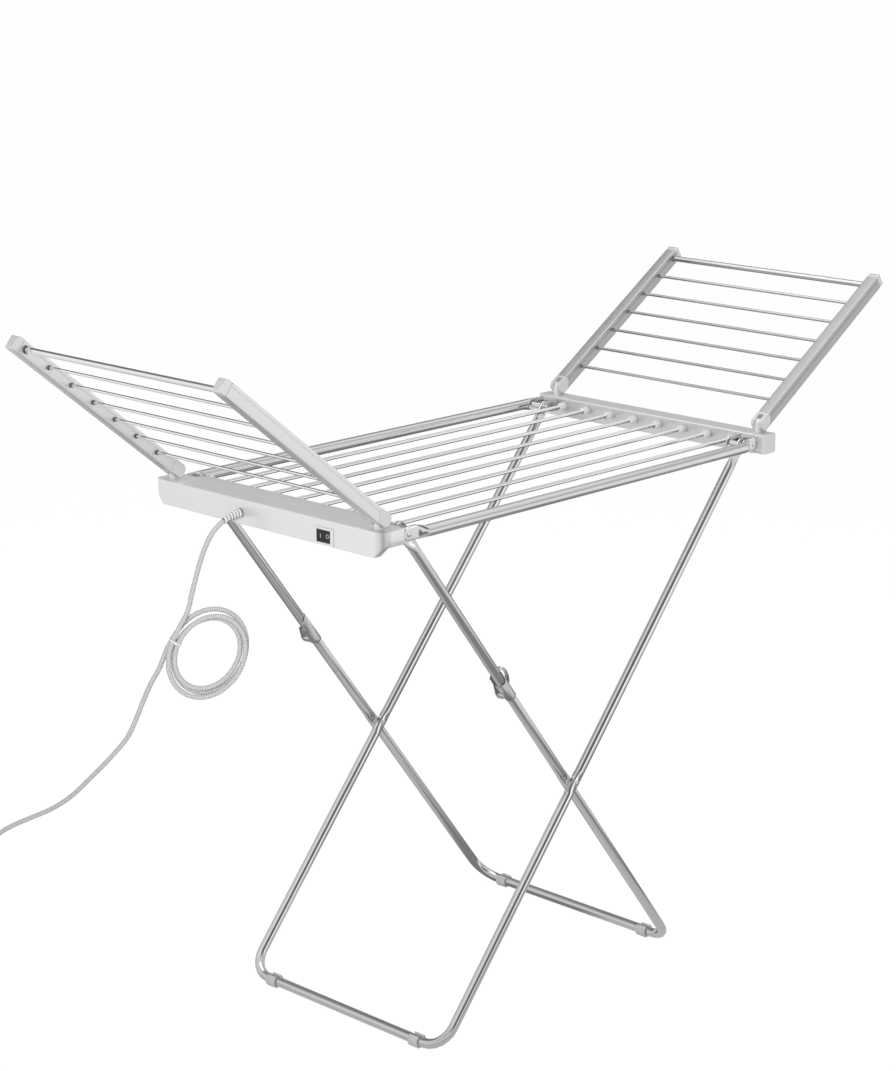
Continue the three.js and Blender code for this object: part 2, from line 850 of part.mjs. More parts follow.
// The U bracket of one corner, with the pin and bushes that carry a leg's eye.
function cornerBracket( end, side, face, legY ) {

	const web = end * ( face - runningClearance );
	const pivot = end * legPivotSpan / 2;
	const rise = bracketHalfHeight;
	const outline = new THREE.Shape();
	outline.moveTo( web, - rise );
	outline.lineTo( pivot, - bracketEarRadius );
	outline.absarc( pivot, 0, bracketEarRadius, - Math.PI / 2, Math.PI / 2, end > 0 );
	outline.lineTo( web, rise );
	outline.closePath();
	const outerFace = railHalf - railRadius + runningClearance;
	const outerEar = ordered( side * ( outerFace - bracketThickness ), side * outerFace );
	const innerFace = bracketInnerEar - bracketThickness / 2;
	const innerEar = ordered( side * innerFace, side * ( innerFace + bracketThickness ) );
	const webSpan = ordered( side * innerFace, side * outerFace );
	const webX = ordered( web, web - end * bracketThickness );
	const pieces = [
		extrudeAlongY( outline, ...outerEar, 8 ),
		extrudeAlongY( outline, ...innerEar, 8 ),
		block( vec( webX[ 0 ], webSpan[ 0 ], - rise ), vec( webX[ 1 ], webSpan[ 1 ], rise ) ),
		rodAlongY( pivotPinDiameter / 2, webSpan[ 0 ], webSpan[ 1 ], pivot, 0 ),
		rivetHead( pivot, 0, side * innerFace, - side ),
	];
	const eyeHalf = eyeThickness / 2 + runningClearance;
	const bushes = [
		[ side * ( innerFace + bracketThickness / 2 ), side * ( legY - eyeHalf ) ],
		[ side * ( legY + eyeHalf ), side * ( outerFace - bracketThickness / 2 ) ],
	];
	for ( const bush of bushes ) {

		pieces.push( rodAlongY( bushDiameter / 2, ...ordered( ...bush ), pivot, 0 ) );

	}

	const bracket = join( ...pieces );
	bracket.translate( 0, 0, railHeight );
	return bracket;

}

function rail( side, kneeY, solidY ) {

	const flatFace = side * ( railHalf - railRadius + railFlatThickness );
	const rivets = [ - 1, 1 ].map( ( end ) => {

		return rivetHead( end * railRivetSpan / 2, railHeight, flatFace, side );

	} );
	return join(
		skin( railRings( side ) ),
		cornerBracket( - 1, side, housingInnerReach, kneeY ),
		cornerBracket( 1, side, channelInnerReach, solidY ),
		...rivets,
	);

}

// A heated bar with the grommet that seats it at each housing.
function heatedBar( y ) {

	const radius = heatedBarDiameter / 2;
	const collar = grommetDiameter / 2;
	const dome = grommetDome;
	const from = - housingBellyReach;
	const to = channelInnerReach;
	const seat = ( x, inward ) => {

		const face = x + inward * runningClearance;
		const rim = face + inward * ( grommetLength - dome );
		const end = rim + inward * dome;
		return [
			[ radius, face ],
			[ collar, face ],
			[ collar, rim ],
			[ collar - dome / 2, end ],
			[ radius, end ],
		];

	};

	const profile = [
		[ 0, from - heatedBarInsertion ],
		[ radius, from - heatedBarInsertion ],
		...seat( from, 1 ),
		...seat( to, - 1 ).reverse(),
		[ radius, to + heatedBarInsertion ],
		[ 0, to + heatedBarInsertion ],
	];
	const geometry = turned( profile, smallSides );
	geometry.rotateZ( - Math.PI / 2 );
	geometry.translate( 0, y, railHeight );
	return geometry;

}

function heatedBarRow() {

	const middle = ( heatedBarCount - 1 ) / 2;
	return Array.from( { length: heatedBarCount }, ( _, i ) => ( i - middle ) * heatedBarPitch );

}

function barHoles( low, high ) {

	const radius = heatedBarDiameter / 2 + runningClearance;
	return heatedBarRow().map( ( y ) => rodAlongX( radius, low, high, y, railHeight ) );

}

// Switch housing

// The housing's outside, or its inside when inset by the wall and carried down to a floor.
function housingVolume( inset, floor ) {

	const outer = - housingOuterReach + inset;
	const neck = - housingInnerReach - inset;
	const belly = - housingBellyReach - inset;
	const end = housingHalfLength - inset;
	const bellyEnd = bellyHalfLength - inset;
	const corner = Math.max( housingCorner - inset, 1 );
	const edge = Math.max( housingEdge - inset, 1 );
	const plan = roundedOutline( [
		[ outer, - end, corner ],
		[ neck, - end, edge ],
		[ neck, - bellyEnd - bellyBlend, edge ],
		[ belly, - bellyEnd, edge ],
		[ belly, bellyEnd, edge ],
		[ neck, bellyEnd + bellyBlend, edge ],
		[ neck, end, edge ],
		[ outer, end, corner ],
	] );
	const chamferTop = housingBottom + housingChamfer + inset * ( Math.SQRT2 - 1 );
	const floorEnd = end - ( chamferTop - floor );
	const ends = roundedOutline( [
		[ - end, housingTop - inset, edge ],
		[ - end, chamferTop, corner ],
		[ - floorEnd, floor, 0 ],
		[ floorEnd, floor, 0 ],
		[ end, chamferTop, corner ],
		[ end, housingTop - inset, edge ],
	] );
	const sideOutline = roundedOutline( [
		[ outer, floor, housingLip ],
		[ belly, floor, housingLip ],
		[ belly, housingTop - inset, edge ],
		[ outer, housingTop - inset, edge ],
	] );
	const span = housingHalfLength + cutOverrun;
	return overlap(
		extrudeAlongZ( plan, floor, housingTop - inset, 4 ),
		extrudeAlongX( ends, - housingOuterReach - cutOverrun, - housingBellyReach + cutOverrun, 3 ),
		extrudeAlongY( sideOutline, - span, span, 3 ),
	);

}

// The notches under both ends where the housing is shallower, beside the rails' brackets.
function neckNotches( inset ) {

	const from = - housingOuterReach + housingNeckStep - inset;
	const low = bellyHalfLength + bellyBlend - inset;
	return [ - 1, 1 ].map( ( side ) => {

		const ys = ordered( side * low, side * ( housingHalfLength + cutOverrun * 2 ) );
		return block(
			vec( from, ys[ 0 ], housingBottom - cutOverrun * 2 ),
			vec( - housingBellyReach + cutOverrun * 2, ys[ 1 ], housingNeckBottom + inset ),
		);

	} );

}

// A round-topped ear that carries a wing's hinge pin.
function hingeEar( x, y, base ) {

	const shape = new THREE.Shape();
	const rise = wingHingeHeight;
	shape.moveTo( x - hingeEarRadius, base );
	shape.lineTo( x + hingeEarRadius, base );
	shape.lineTo( x + hingeEarRadius, rise );
	shape.absarc( x, rise, hingeEarRadius, 0, Math.PI, false );
	shape.closePath();
	return extrudeAlongY( shape, y - hingeEarWidth / 2, y + hingeEarWidth / 2, 8 );

}

function hingeEars( x, base ) {

	return [ - armMiddle, armMiddle ].map( ( y ) => hingeEar( x, y, base ) );

}

function hingeHoles( x ) {

	const radius = hingePinDiameter / 2 + runningClearance;
	const span = armMiddle + armWidth;
	return [ rodAlongY( radius, - span, span, x, wingHingeHeight ) ];

}

function switchHousing() {

	const outside = cut( housingVolume( 0, housingBottom ), ...neckNotches( 0 ) );
	const hollow = housingVolume( housingWall, housingBottom - cutOverrun );
	const inside = cut( hollow, ...neckNotches( housingWall ) );
	const ears = hingeEars( - wingHingeReach, housingTop - housingWall / 2 );
	const shell = join( cut( outside, inside ), ...ears );
	const face = - housingOuterReach;
	const bodyWidth = switchWidth / 2 - switchBodyInset + runningClearance;
	const bodyTall = switchTall / 2 - switchBodyInset + runningClearance;
	const window = block(
		vec( face - cutOverrun, switchCentre - bodyWidth, switchHeight - bodyTall ),
		vec( face + housingWall + cutOverrun, switchCentre + bodyWidth, switchHeight + bodyTall ),
	);
	const glandRadius = reliefTip + runningClearance;
	const glandSpan = [ face - cutOverrun, face + housingWall + cutOverrun ];
	const gland = rodAlongX( glandRadius, ...glandSpan, reliefExit, reliefHeight, roundSides );
	const holes = barHoles( - housingBellyReach - housingWall - cutOverrun, - housingBellyReach + cutOverrun );
	return cut( shell, window, gland, ...holes, ...hingeHoles( - wingHingeReach ) );

}

// The flat cover that closes the housing from below.
function housingCover() {

	const inset = housingWall + baseInset;
	const plate = cut( housingVolume( inset, housingBottom ), ...neckNotches( inset ) );
	const reach = housingOuterReach + cutOverrun;
	const span = housingHalfLength + cutOverrun;
	const top = housingBottom + baseThickness;
	const slab = block(
		vec( - reach, - span, housingBottom ),
		vec( - housingBellyReach + cutOverrun, span, top ),
	);
	return overlap( plate, slab );

}

// The switch body with its rim, open at the front for the rocker.
function switchBezel() {

	const face = - housingOuterReach - runningClearance;
	const rim = block(
		vec( face - bezelProud, switchCentre - switchWidth / 2, switchHeight - switchTall / 2 ),
		vec( face, switchCentre + switchWidth / 2, switchHeight + switchTall / 2 ),
	);
	const halfWidth = switchWidth / 2 - switchBodyInset;
	const halfTall = switchTall / 2 - switchBodyInset;
	const body = block(
		vec( face - bezelProud / 2, switchCentre - halfWidth, switchHeight - halfTall ),
		vec( face + switchDepthInside, switchCentre + halfWidth, switchHeight + halfTall ),
	);
	const wellWidth = rockerWidth / 2 + runningClearance * 2;
	const wellTall = rockerTall / 2 + runningClearance;
	const well = block(
		vec( face - bezelProud - cutOverrun, switchCentre - wellWidth, switchHeight - wellTall ),
		vec( face + wellDepth, switchCentre + wellWidth, switchHeight + wellTall ),
	);
	return cut( join( rim, body ), well );

}

// The rocker, a shallow V seen from above, drawn round the upright axis that it rocks on.
function switchRocker() {

	const half = rockerWidth / 2;
	const waistShares = [ 0.5, 0.84 ];
	const shape = new THREE.Shape();
	shape.moveTo( - rockerProud, - half );
	shape.quadraticCurveTo( 0, - half * waistShares[ 0 ], 0, 0 );
	shape.quadraticCurveTo( 0, half * waistShares[ 0 ], - rockerProud, half );
	shape.lineTo( rockerThickness, half * waistShares[ 1 ] );
	shape.lineTo( rockerThickness + rockerRear, 0 );
	shape.lineTo( rockerThickness, - half * waistShares[ 1 ] );
	shape.closePath();
	return extrudeAlongZ( shape, - rockerTall / 2, rockerTall / 2, 5 );

}

// The ribbed sleeve that keeps the flex from bending sharply at the housing.
function strainRelief() {

	const curve = reliefCurve();
	const ribHeights = [ 0, reliefRibHeight, reliefRibHeight, 0 ];
	const count = reliefRibs * ribHeights.length;
	const inside = [ reliefRootDepth, 0 ].map( ( depth ) => {

		const centre = vec( - housingOuterReach + depth, reliefExit, reliefHeight );
		return reliefRing( centre, vec( - 1, 0, 0 ), reliefTip );

	} );
	const outside = Array.from( { length: count + 1 }, ( _, i ) => {

		const share = i / count;
		const rib = i < count ? ribHeights[ i % ribHeights.length ] : 0;
		const radius = THREE.MathUtils.lerp( reliefRoot, reliefTip, share ) + rib;
		return reliefRing( curve.getPointAt( share ), curve.getTangentAt( share ), radius );

	} );
	return skin( [ ...inside, ...outside ], smallSides );

}

function reliefCurve() {

	const start = vec( - housingOuterReach - runningClearance, reliefExit, reliefHeight );
	const middle = start.clone().add( vec( - reliefLength / 2, 0, 0 ) );
	const end = start.clone().add( vec( - reliefLength, 0, - reliefDrop ) );
	return new THREE.QuadraticBezierCurve3( start, middle, end );

}

function reliefRing( centre, tangent, radius ) {

	const across = vec( 0, 1, 0 );
	const up = new THREE.Vector3().crossVectors( tangent, across ).normalize();
	return { centre, across, up, right: radius, left: radius, rise: radius };

}

// A strip of screw terminals on the housing's floor, where the flex meets the bars' heating wires.
function terminalStrip() {

	const floor = housingBottom + baseThickness + runningClearance;
	const x = - housingOuterReach + housingWall + terminalWidth;
	const base = block(
		vec( x - terminalWidth / 2, terminalPlace - terminalLength / 2, floor ),
		vec( x + terminalWidth / 2, terminalPlace + terminalLength / 2, floor + terminalTall ),
	);
	const posts = [];
	for ( let i = 0; i < terminalCount; i ++ ) {

		const y = terminalPlace + ( ( i + 1 / 2 ) / terminalCount - 1 / 2 ) * terminalLength;
		const post = new THREE.CylinderGeometry( terminalPost / 2, terminalPost / 2, terminalTall, thinSides );
		post.rotateX( Math.PI / 2 );
		post.translate( x, y, floor + terminalTall );
		posts.push( post );

	}

	return join( base, ...posts );

}

// Plain housing

function plainChannel() {

	const outline = ( inset, floor ) => roundedOutline( [
		[ channelInnerReach + inset, floor, 0 ],
		[ channelOuterReach - inset, floor, 0 ],
		[ channelOuterReach - inset, channelTop - inset, housingEdge ],
		[ channelInnerReach + inset, channelTop - inset, housingEdge ],
	] );
	const outside = extrudeAlongY( outline( 0, channelBottom ), - endBlockSeam, endBlockSeam, 3 );
	const span = endBlockSeam + cutOverrun;
	const hollow = extrudeAlongY( outline( channelWall, channelBottom - cutOverrun ), - span, span, 3 );
	const shell = join( cut( outside, hollow ), ...hingeEars( wingHingeReach, channelTop - channelWall / 2 ) );
	const holes = barHoles( channelInnerReach - cutOverrun, channelInnerReach + channelWall + cutOverrun );
	return cut( shell, ...holes, ...hingeHoles( wingHingeReach ) );

}

// One moulded end of the plain housing, with a spigot inside the channel.
function endBlock( side ) {

	const seam = endBlockSeam + runningClearance;
	const plan = roundedOutline( [
		[ channelInnerReach, side * seam, 0 ],
		[ channelInnerReach, side * housingHalfLength, endBlockEdge ],
		[ channelOuterReach, side * housingHalfLength, endBlockEdge ],
		[ channelOuterReach, side * seam, 0 ],
	] );
	const lid = roundedOutline( [
		[ channelInnerReach, channelBottom, endBlockEdge ],
		[ channelOuterReach, channelBottom, endBlockEdge ],
		[ channelOuterReach, channelTop, endBlockEdge ],
		[ channelInnerReach, channelTop, endBlockEdge ],
	] );
	const span = housingHalfLength + cutOverrun;
	const body = overlap(
		extrudeAlongZ( plan, channelBottom, channelTop, 4 ),
		extrudeAlongY( lid, - span, span, 3 ),
	);
	const gap = channelWall + spigotPlay;
	const ys = ordered( side * ( endBlockSeam - spigotLength ), side * ( seam + cutOverrun ) );
	const spigot = block(
		vec( channelInnerReach + gap, ys[ 0 ], channelBottom + gap ),
		vec( channelOuterReach - gap, ys[ 1 ], channelTop - gap ),
	);
	return join( body, spigot );

}

// Wings, drawn with the hinge at the origin, the arms running along +X and their upper side towards +Z

function armOutline( inset ) {

	const half = armWidth / 2 - inset;
	const rise = armHeight / 2 - inset;
	const corner = Math.max( armCorner - inset, armWall / 2 );
	return roundedOutline( [
		[ - half, - rise, corner ],
		[ half, - rise, corner ],
		[ half, rise, corner ],
		[ - half, rise, corner ],
	] );

}

// The round seat where the extruded arm gives way to the moulded knuckle.
function knuckleRound( radius ) {

	const span = armWidth;
	return rodAlongY( radius, - span, span, knuckleCutForward, knuckleCutUp, thinSides * 3 );

}

function earSlot() {

	const half = hingeSlot / 2;
	const reachBack = knuckleRadius + knuckleCutRadius;
	return block( vec( - reachBack, - half, - armHeight ), vec( slotFront, half, armHeight ) );

}

// One arm as a hollow extrusion, with a groove along each side and its rung holes towards the inside.
function wingArm( inward ) {

	const body = cut(
		extrudeAlongX( armOutline( 0 ), armStart, armEnd, 2 ),
		extrudeAlongX( armOutline( armWall ), armStart - cutOverrun, armEnd + cutOverrun, 1 ),
	);
	const grooves = [ - 1, 1 ].map( ( side ) => {

		const ys = ordered( side * ( armWidth / 2 - armGrooveDepth ), side * ( armWidth / 2 + cutOverrun ) );
		return block(
			vec( armStart - cutOverrun, ys[ 0 ], grooveHeight ),
			vec( armEnd + cutOverrun, ys[ 1 ], grooveHeight + armGrooveWidth ),
		);

	} );
	const holes = rungPlaces().map( ( { s, diameter } ) => {

		const face = inward * armWidth / 2;
		const ys = ordered( face - inward * ( armWall + cutOverrun ), face + inward * cutOverrun );
		return rodAlongY( diameter / 2 + runningClearance, ...ys, s, 0, thinSides );

	} );
	return cut( body, ...grooves, ...holes, knuckleRound( knuckleCutRadius ), earSlot() );

}

function rungPlaces() {

	return Array.from( { length: rungCount }, ( _, i ) => ( {
		s: rungFirst + i * rungPitch,
		diameter: i === rungCount - 1 ? endRungDiameter : rungDiameter,
	} ) );

}

// The moulded knuckle: a rounded head, a fork round the housing's ear, the pin and a plug inside the arm.
function wingKnuckle() {

	const head = overlap(
		extrudeAlongY( roundedOutline( [
			[ - knuckleBack, - knuckleLow, knuckleRadius ],
			[ knuckleFront, - knuckleLow, 0 ],
			[ knuckleFront, knuckleHigh, 0 ],
			[ - knuckleBack, knuckleHigh, knuckleRadius ],
		] ), - armWidth / 2, armWidth / 2, 6 ),
		knuckleRound( knuckleCutRadius - runningClearance ),
	);
	const plug = extrudeAlongX( armOutline( armWall + runningClearance ), 0, knucklePlug, 1 );
	const pin = rodAlongY( hingePinDiameter / 2, - armWidth / 2, armWidth / 2, 0, 0 );
	return join( cut( join( head, plug ), earSlot() ), pin );

}

// The moulded cap that closes an arm's outer end.
function armCap() {

	const from = armEnd + runningClearance;
	const to = armEnd + capLength;
	const outline = ( half ) => roundedOutline( [
		[ from, - half, 0 ],
		[ to, - half, capEdge ],
		[ to, half, capEdge ],
		[ from, half, 0 ],
	] );
	const body = overlap(
		extrudeAlongZ( outline( armWidth / 2 ), - armHeight / 2, armHeight / 2, 4 ),
		extrudeAlongY( outline( armHeight / 2 ), - armWidth / 2, armWidth / 2, 4 ),
		extrudeAlongX( armOutline( 0 ), from, to, 2 ),
	);
	const inner = armOutline( armWall + runningClearance );
	return join( body, extrudeAlongX( inner, armEnd - capPlug, from + runningClearance, 1 ) );

}

function wingRung( diameter ) {

	const half = armInnerFace + rungInsertion;
	return rodAlongY( diameter / 2, - half, half, 0, 0, thinSides );

}

// The mains flex

// Rings round a line of points, kept square to it, as one closed tube.
function tubeThrough( points, radius, sides ) {

	const tangents = points.map( ( _, i ) => {

		const before = points[ Math.max( i - 1, 0 ) ];
		const after = points[ Math.min( i + 1, points.length - 1 ) ];
		return new THREE.Vector3().subVectors( after, before ).normalize();

	} );
	let across = new THREE.Vector3().crossVectors( tangents[ 0 ], vec( 1, 0, 0 ) ).normalize();
	const rings = points.map( ( centre, i ) => {

		across = across.clone().addScaledVector( tangents[ i ], - across.dot( tangents[ i ] ) ).normalize();
		const up = new THREE.Vector3().crossVectors( tangents[ i ], across );
		return { centre, across, up, right: radius, left: radius, rise: radius };

	} );
	return skin( rings, sides );

}

function heading( degrees ) {

	const angle = THREE.MathUtils.degToRad( degrees );
	return vec( Math.cos( angle ), Math.sin( angle ), 0 );

}

// The coil's plane faces the front left of the airer.
const coilNormal = heading( coilFacing );
const coilAcross = vec( - coilNormal.y, coilNormal.x, 0 );

// A point of the coil: it winds in for half its turns, changes layer and winds out behind itself.
function coilPoint( turn ) {

	const half = coilTurns / 2;
	const depth = turn < half ? turn : coilTurns - turn;
	const layer = THREE.MathUtils.smoothstep( turn, half - layerTurnShare, half + layerTurnShare );
	const angle = THREE.MathUtils.degToRad( coilStartAngle ) + turn * 2 * Math.PI;
	const up = ( coilHalfHeight - coilPitchUp * depth ) * Math.sin( angle );
	const across = ( coilHalfWidth - coilPitchAcross * depth ) * Math.cos( angle ) + up * coilLeanShare;
	return vec( ...coilCentre )
		.addScaledVector( coilAcross, across )
		.addScaledVector( vec( 0, 0, 1 ), up )
		.addScaledVector( coilNormal, - layer * coilLayer );

}

function coilLine( stepsPerTurn ) {

	const count = coilTurns * stepsPerTurn;
	const wound = Array.from( { length: count + 1 }, ( _, i ) => coilPoint( i / stepsPerTurn ) );
	return [ coilLead( 0, cordDiameter ), ...wound, coilLead( coilTurns, cordDiameter ) ];

}

// The point that lies straight beyond one end of the coil.
function coilLead( turn, distance ) {

	const tiny = 1e-3;
	const inside = turn === 0 ? coilPoint( tiny ) : coilPoint( turn - tiny );
	const away = new THREE.Vector3().subVectors( coilPoint( turn ), inside ).normalize();
	return coilPoint( turn ).addScaledVector( away, distance );

}

function leastGap( points, diameter ) {

	const neighbourShare = 4;
	const lengths = [ 0 ];
	for ( let i = 1; i < points.length; i ++ ) {

		lengths.push( lengths[ i - 1 ] + points[ i ].distanceTo( points[ i - 1 ] ) );

	}

	let least = Infinity;
	points.forEach( ( point, i ) => {

		for ( let k = i + 1; k < points.length; k ++ ) {

			const apart = point.distanceTo( points[ k ] ) - diameter;
			if ( lengths[ k ] - lengths[ i ] > diameter * neighbourShare ) least = Math.min( least, apart );

		}

	} );
	return least;

}

// The route from the strain relief to the coil.
function firstRoute() {

	const curve = reliefCurve();
	const start = curve.getPoint( 1 ).addScaledVector( curve.getTangent( 1 ), runningClearance );
	return [
		start,
		start.clone().addScaledVector( curve.getTangent( 1 ), cordDiameter ),
		vec( - 547.9, 65.6, 870.4 ),
		vec( - 555.5, 73.2, 848.5 ),
		vec( - 561.9, 80.6, 821.4 ),
		vec( - 566.7, 86.4, 794.3 ),
		vec( - 571.6, 91.6, 767 ),
		vec( - 576.8, 95.1, 742 ),
		coilLead( 0, cordDiameter * 3 ),
		coilLead( 0, cordDiameter * 2 ),
		coilLead( 0, cordDiameter + runningClearance ),
	];

}

// The route from the coil down to the plug on the floor.
function tailRoute() {

	const end = plugRear();
	return [
		coilLead( coilTurns, cordDiameter + runningClearance ),
		coilLead( coilTurns, cordDiameter * 2 ),
		coilLead( coilTurns, cordDiameter * 3 ),
		vec( - 601.7, 138.2, 645 ),
		vec( - 609, 153, 616 ),
		vec( - 613.6, 167.5, 584.7 ),
		vec( - 618.2, 181.8, 551.3 ),
		vec( - 622.6, 198.8, 518.4 ),
		vec( - 628.7, 219.8, 491.7 ),
		vec( - 634.2, 245.5, 464.1 ),
		vec( - 637.9, 284.8, 427.1 ),
		vec( - 641.6, 329.7, 387 ),
		vec( - 647.5, 382.2, 351.3 ),
		vec( - 656.8, 437.6, 321.3 ),
		vec( - 666.9, 493.3, 287.4 ),
		vec( - 674, 533, 248 ),
		vec( - 682, 570, 206 ),
		vec( - 693, 604, 158 ),
		vec( - 704, 630, 110 ),
		vec( - 722, 656, 66 ),
		vec( - 746, 678, 31 ),
		vec( - 777, 694, 12 ),
		end.clone().addScaledVector( plugHeading, - cordDiameter * 2 ),
		end.clone().addScaledVector( plugHeading, - cordDiameter ),
		end,
	];

}

const plugHeading = heading( plugAngle );

function plugRear() {

	return vec( ...plugPlace, plugThickness / 2 );

}

// A mains flex as one tube; the section is a regular polygon and the steps follow the route.
function flexTube( route ) {

	const points = Array.from( { length: thinSides }, ( _, i ) => {

		const angle = i / thinSides * 2 * Math.PI;
		return new THREE.Vector2( Math.cos( angle ), Math.sin( angle ) ).multiplyScalar( cordDiameter / 2 );

	} );
	const stepShare = 2.5;
	const path = new THREE.CatmullRomCurve3( route, false, 'centripetal' );
	const steps = Math.round( path.getLength() / ( cordDiameter * stepShare ) );
	const section = new THREE.Shape( points );
	return new THREE.ExtrudeGeometry( section, { steps, bevelEnabled: false, extrudePath: path } );

}

// The moulded plug, drawn along +X from the flex to the tips of its two pins.
function mainsPlug() {

	const ring = ( x, width, rise, power ) => ( {
		centre: vec( x, 0, 0 ),
		across: vec( 0, 1, 0 ),
		up: vec( 0, 0, 1 ),
		right: width,
		left: width,
		rise,
		power,
	} );
	const rear = runningClearance;
	const neckEnd = rear + plugNeckLength;
	const front = neckEnd + plugLength;
	const halfWidth = plugWidth / 2;
	const halfThick = plugThickness / 2;
	const squareShares = [ 1, 0.8, 0.7 ];
	const shoulderShare = 0.86;
	const neckShare = 0.65;
	const body = skin( [
		ring( rear, cordDiameter * neckShare, cordDiameter * neckShare, squareShares[ 0 ] ),
		ring( neckEnd, plugNeckRadius, plugNeckRadius, squareShares[ 0 ] ),
		ring( neckEnd + plugNeckRadius, halfWidth * shoulderShare, halfThick * shoulderShare, squareShares[ 1 ] ),
		ring( neckEnd + plugNeckRadius * 2, halfWidth, halfThick, squareShares[ 2 ] ),
		ring( front - plugNeckRadius / 2, halfWidth, halfThick, squareShares[ 2 ] ),
		ring( front, halfWidth * shoulderShare, halfThick * shoulderShare, squareShares[ 2 ] ),
	], roundSides );
	const pins = [ - 1, 1 ].map( ( side ) => {

		const from = front - plugNeckRadius;
		return rodAlongX( plugPinDiameter / 2, from, front + plugPinLength, side * plugPinSpan / 2, 0 );

	} );
	return join( body, ...pins );

}

// Assembly
const airer = new THREE.Group();
const frame = new THREE.Group();
airer.add( frame );

function place( parent, name, geometry, material, x = 0, y = 0, z = 0 ) {

	const mesh = part( name, geometry, material );
	mesh.position.set( x, y, z );
	parent.add( mesh );
	return mesh;

}

place( frame, 'rail_near', rail( - 1, legInner, legOuter ), brightSteel );
place( frame, 'rail_far', rail( 1, legOuter, legInner ), brightSteel );
heatedBarRow().forEach( ( y, i ) => place( frame, `heated_bar_${ i + 1 }`, heatedBar( y ), heatedSteel ) );

place( frame, 'switch_housing', switchHousing(), silverPlastic );
place( frame, 'housing_cover', housingCover(), silverPlastic );
place( frame, 'switch_bezel', switchBezel(), palePlastic );
place( frame, 'strain_relief', strainRelief(), silverPlastic );
place( frame, 'terminal_strip', terminalStrip(), palePlastic );
const rocker = place(
	frame,
	'rocker_switch',
	switchRocker(),
	blackPlastic,
	- housingOuterReach - runningClearance - bezelProud + rockerDepth,
	switchCentre,
	switchHeight,
);
rocker.rotation.z = THREE.MathUtils.degToRad( rockerTilt );

place( frame, 'plain_housing', plainChannel(), satinAluminium );
place( frame, 'end_block_near', endBlock( - 1 ), silverPlastic );
place( frame, 'end_block_far', endBlock( 1 ), silverPlastic );

// Legs, each drawn along its own +X from the pivots and turned down to the floor
const kneeLegs = new THREE.Group();
kneeLegs.position.set( - legPivotSpan / 2, 0, railHeight );
kneeLegs.rotation.y = Math.atan2( drop, kneeRun );
frame.add( kneeLegs );
place( kneeLegs, 'upper_link_near', upperLink( - legInner ), brightSteel );
place( kneeLegs, 'upper_link_far', upperLink( legOuter ), brightSteel );
place( kneeLegs, 'lower_frame', lowerFrame(), brightSteel );
place( kneeLegs, 'knee_bracket_near', kneeBracket( - legInner, - 1, true ), zincSteel );
place( kneeLegs, 'knee_bracket_far', kneeBracket( legOuter, 1, false ), zincSteel );

const solidLegs = new THREE.Group();
solidLegs.position.set( legPivotSpan / 2, 0, railHeight );
solidLegs.rotation.y = Math.PI - Math.atan2( drop, solidRun );
frame.add( solidLegs );
place( solidLegs, 'solid_frame', solidFrame(), brightSteel );

place( frame, 'foot_right_near', footClip( kneeFootReach, - legInner + footInset ), blackPlastic );
place( frame, 'foot_right_far', footClip( kneeFootReach, legOuter - footInset ), blackPlastic );
place( frame, 'foot_left_near', footClip( - solidFootReach, - legOuter + footInset ), blackPlastic );
place( frame, 'foot_left_far', footClip( - solidFootReach, legInner - footInset ), blackPlastic );

// Wings
function wing( label, x, facing, tilt ) {

	const base = new THREE.Group();
	base.position.set( x, 0, wingHingeHeight );
	base.rotation.z = facing;
	frame.add( base );
	const raised = new THREE.Group();
	raised.rotation.y = - THREE.MathUtils.degToRad( tilt );
	base.add( raised );
	const nearSide = facing === 0 ? - 1 : 1;
	for ( const [ end, side ] of [ [ 'near', nearSide ], [ 'far', - nearSide ] ] ) {

		const y = side * armMiddle;
		place( raised, `arm_${ label }_${ end }`, wingArm( - side ), satinAluminium, 0, y );
		place( raised, `knuckle_${ label }_${ end }`, wingKnuckle(), silverPlastic, 0, y );
		place( raised, `arm_cap_${ label }_${ end }`, armCap(), silverPlastic, 0, y );

	}

	rungPlaces().forEach( ( { s, diameter }, i ) => {

		place( raised, `rung_${ label }_${ i + 1 }`, wingRung( diameter ), heatedSteel, s );

	} );

}

wing( 'left', - wingHingeReach, Math.PI, leftWingTilt );
wing( 'right', wingHingeReach, 0, rightWingTilt );

// How far the tip of a raised wing lies from the tray's middle.
function tipReach( tilt ) {

	return wingHingeReach + ( armEnd + capLength ) * Math.cos( THREE.MathUtils.degToRad( tilt ) );

}

// The origin lies on the floor under the middle of the airer, whose wings reach out unequally.
frame.position.x = ( tipReach( leftWingTilt ) - tipReach( rightWingTilt ) ) / 2;

// Mains flex
const coilSteps = 24;
const coilSides = 6;
const finerSteps = 96;
const coil = coilLine( coilSteps );
const coilGap = leastGap( coilLine( finerSteps ), cordDiameter );
console.log( 'least gap of the coil to itself, mm:', coilGap.toFixed( 2 ) );
place( frame, 'cord_first', flexTube( firstRoute() ), braid );
place( frame, 'cord_coil', tubeThrough( coil, cordDiameter / 2, coilSides ), braid );
place( frame, 'cord_tail', flexTube( tailRoute() ), braid );
const plug = place( frame, 'plug', mainsPlug(), palePlastic, ...plugRear().toArray() );
plug.rotation.z = THREE.MathUtils.degToRad( plugAngle );

export default airer;
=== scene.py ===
"""Heated clothes airer: finishes, dressing pieces, mains lead, stage and camera.

Lengths are metres. +X runs from the switch housing to the plain housing and +Z is up.
"""

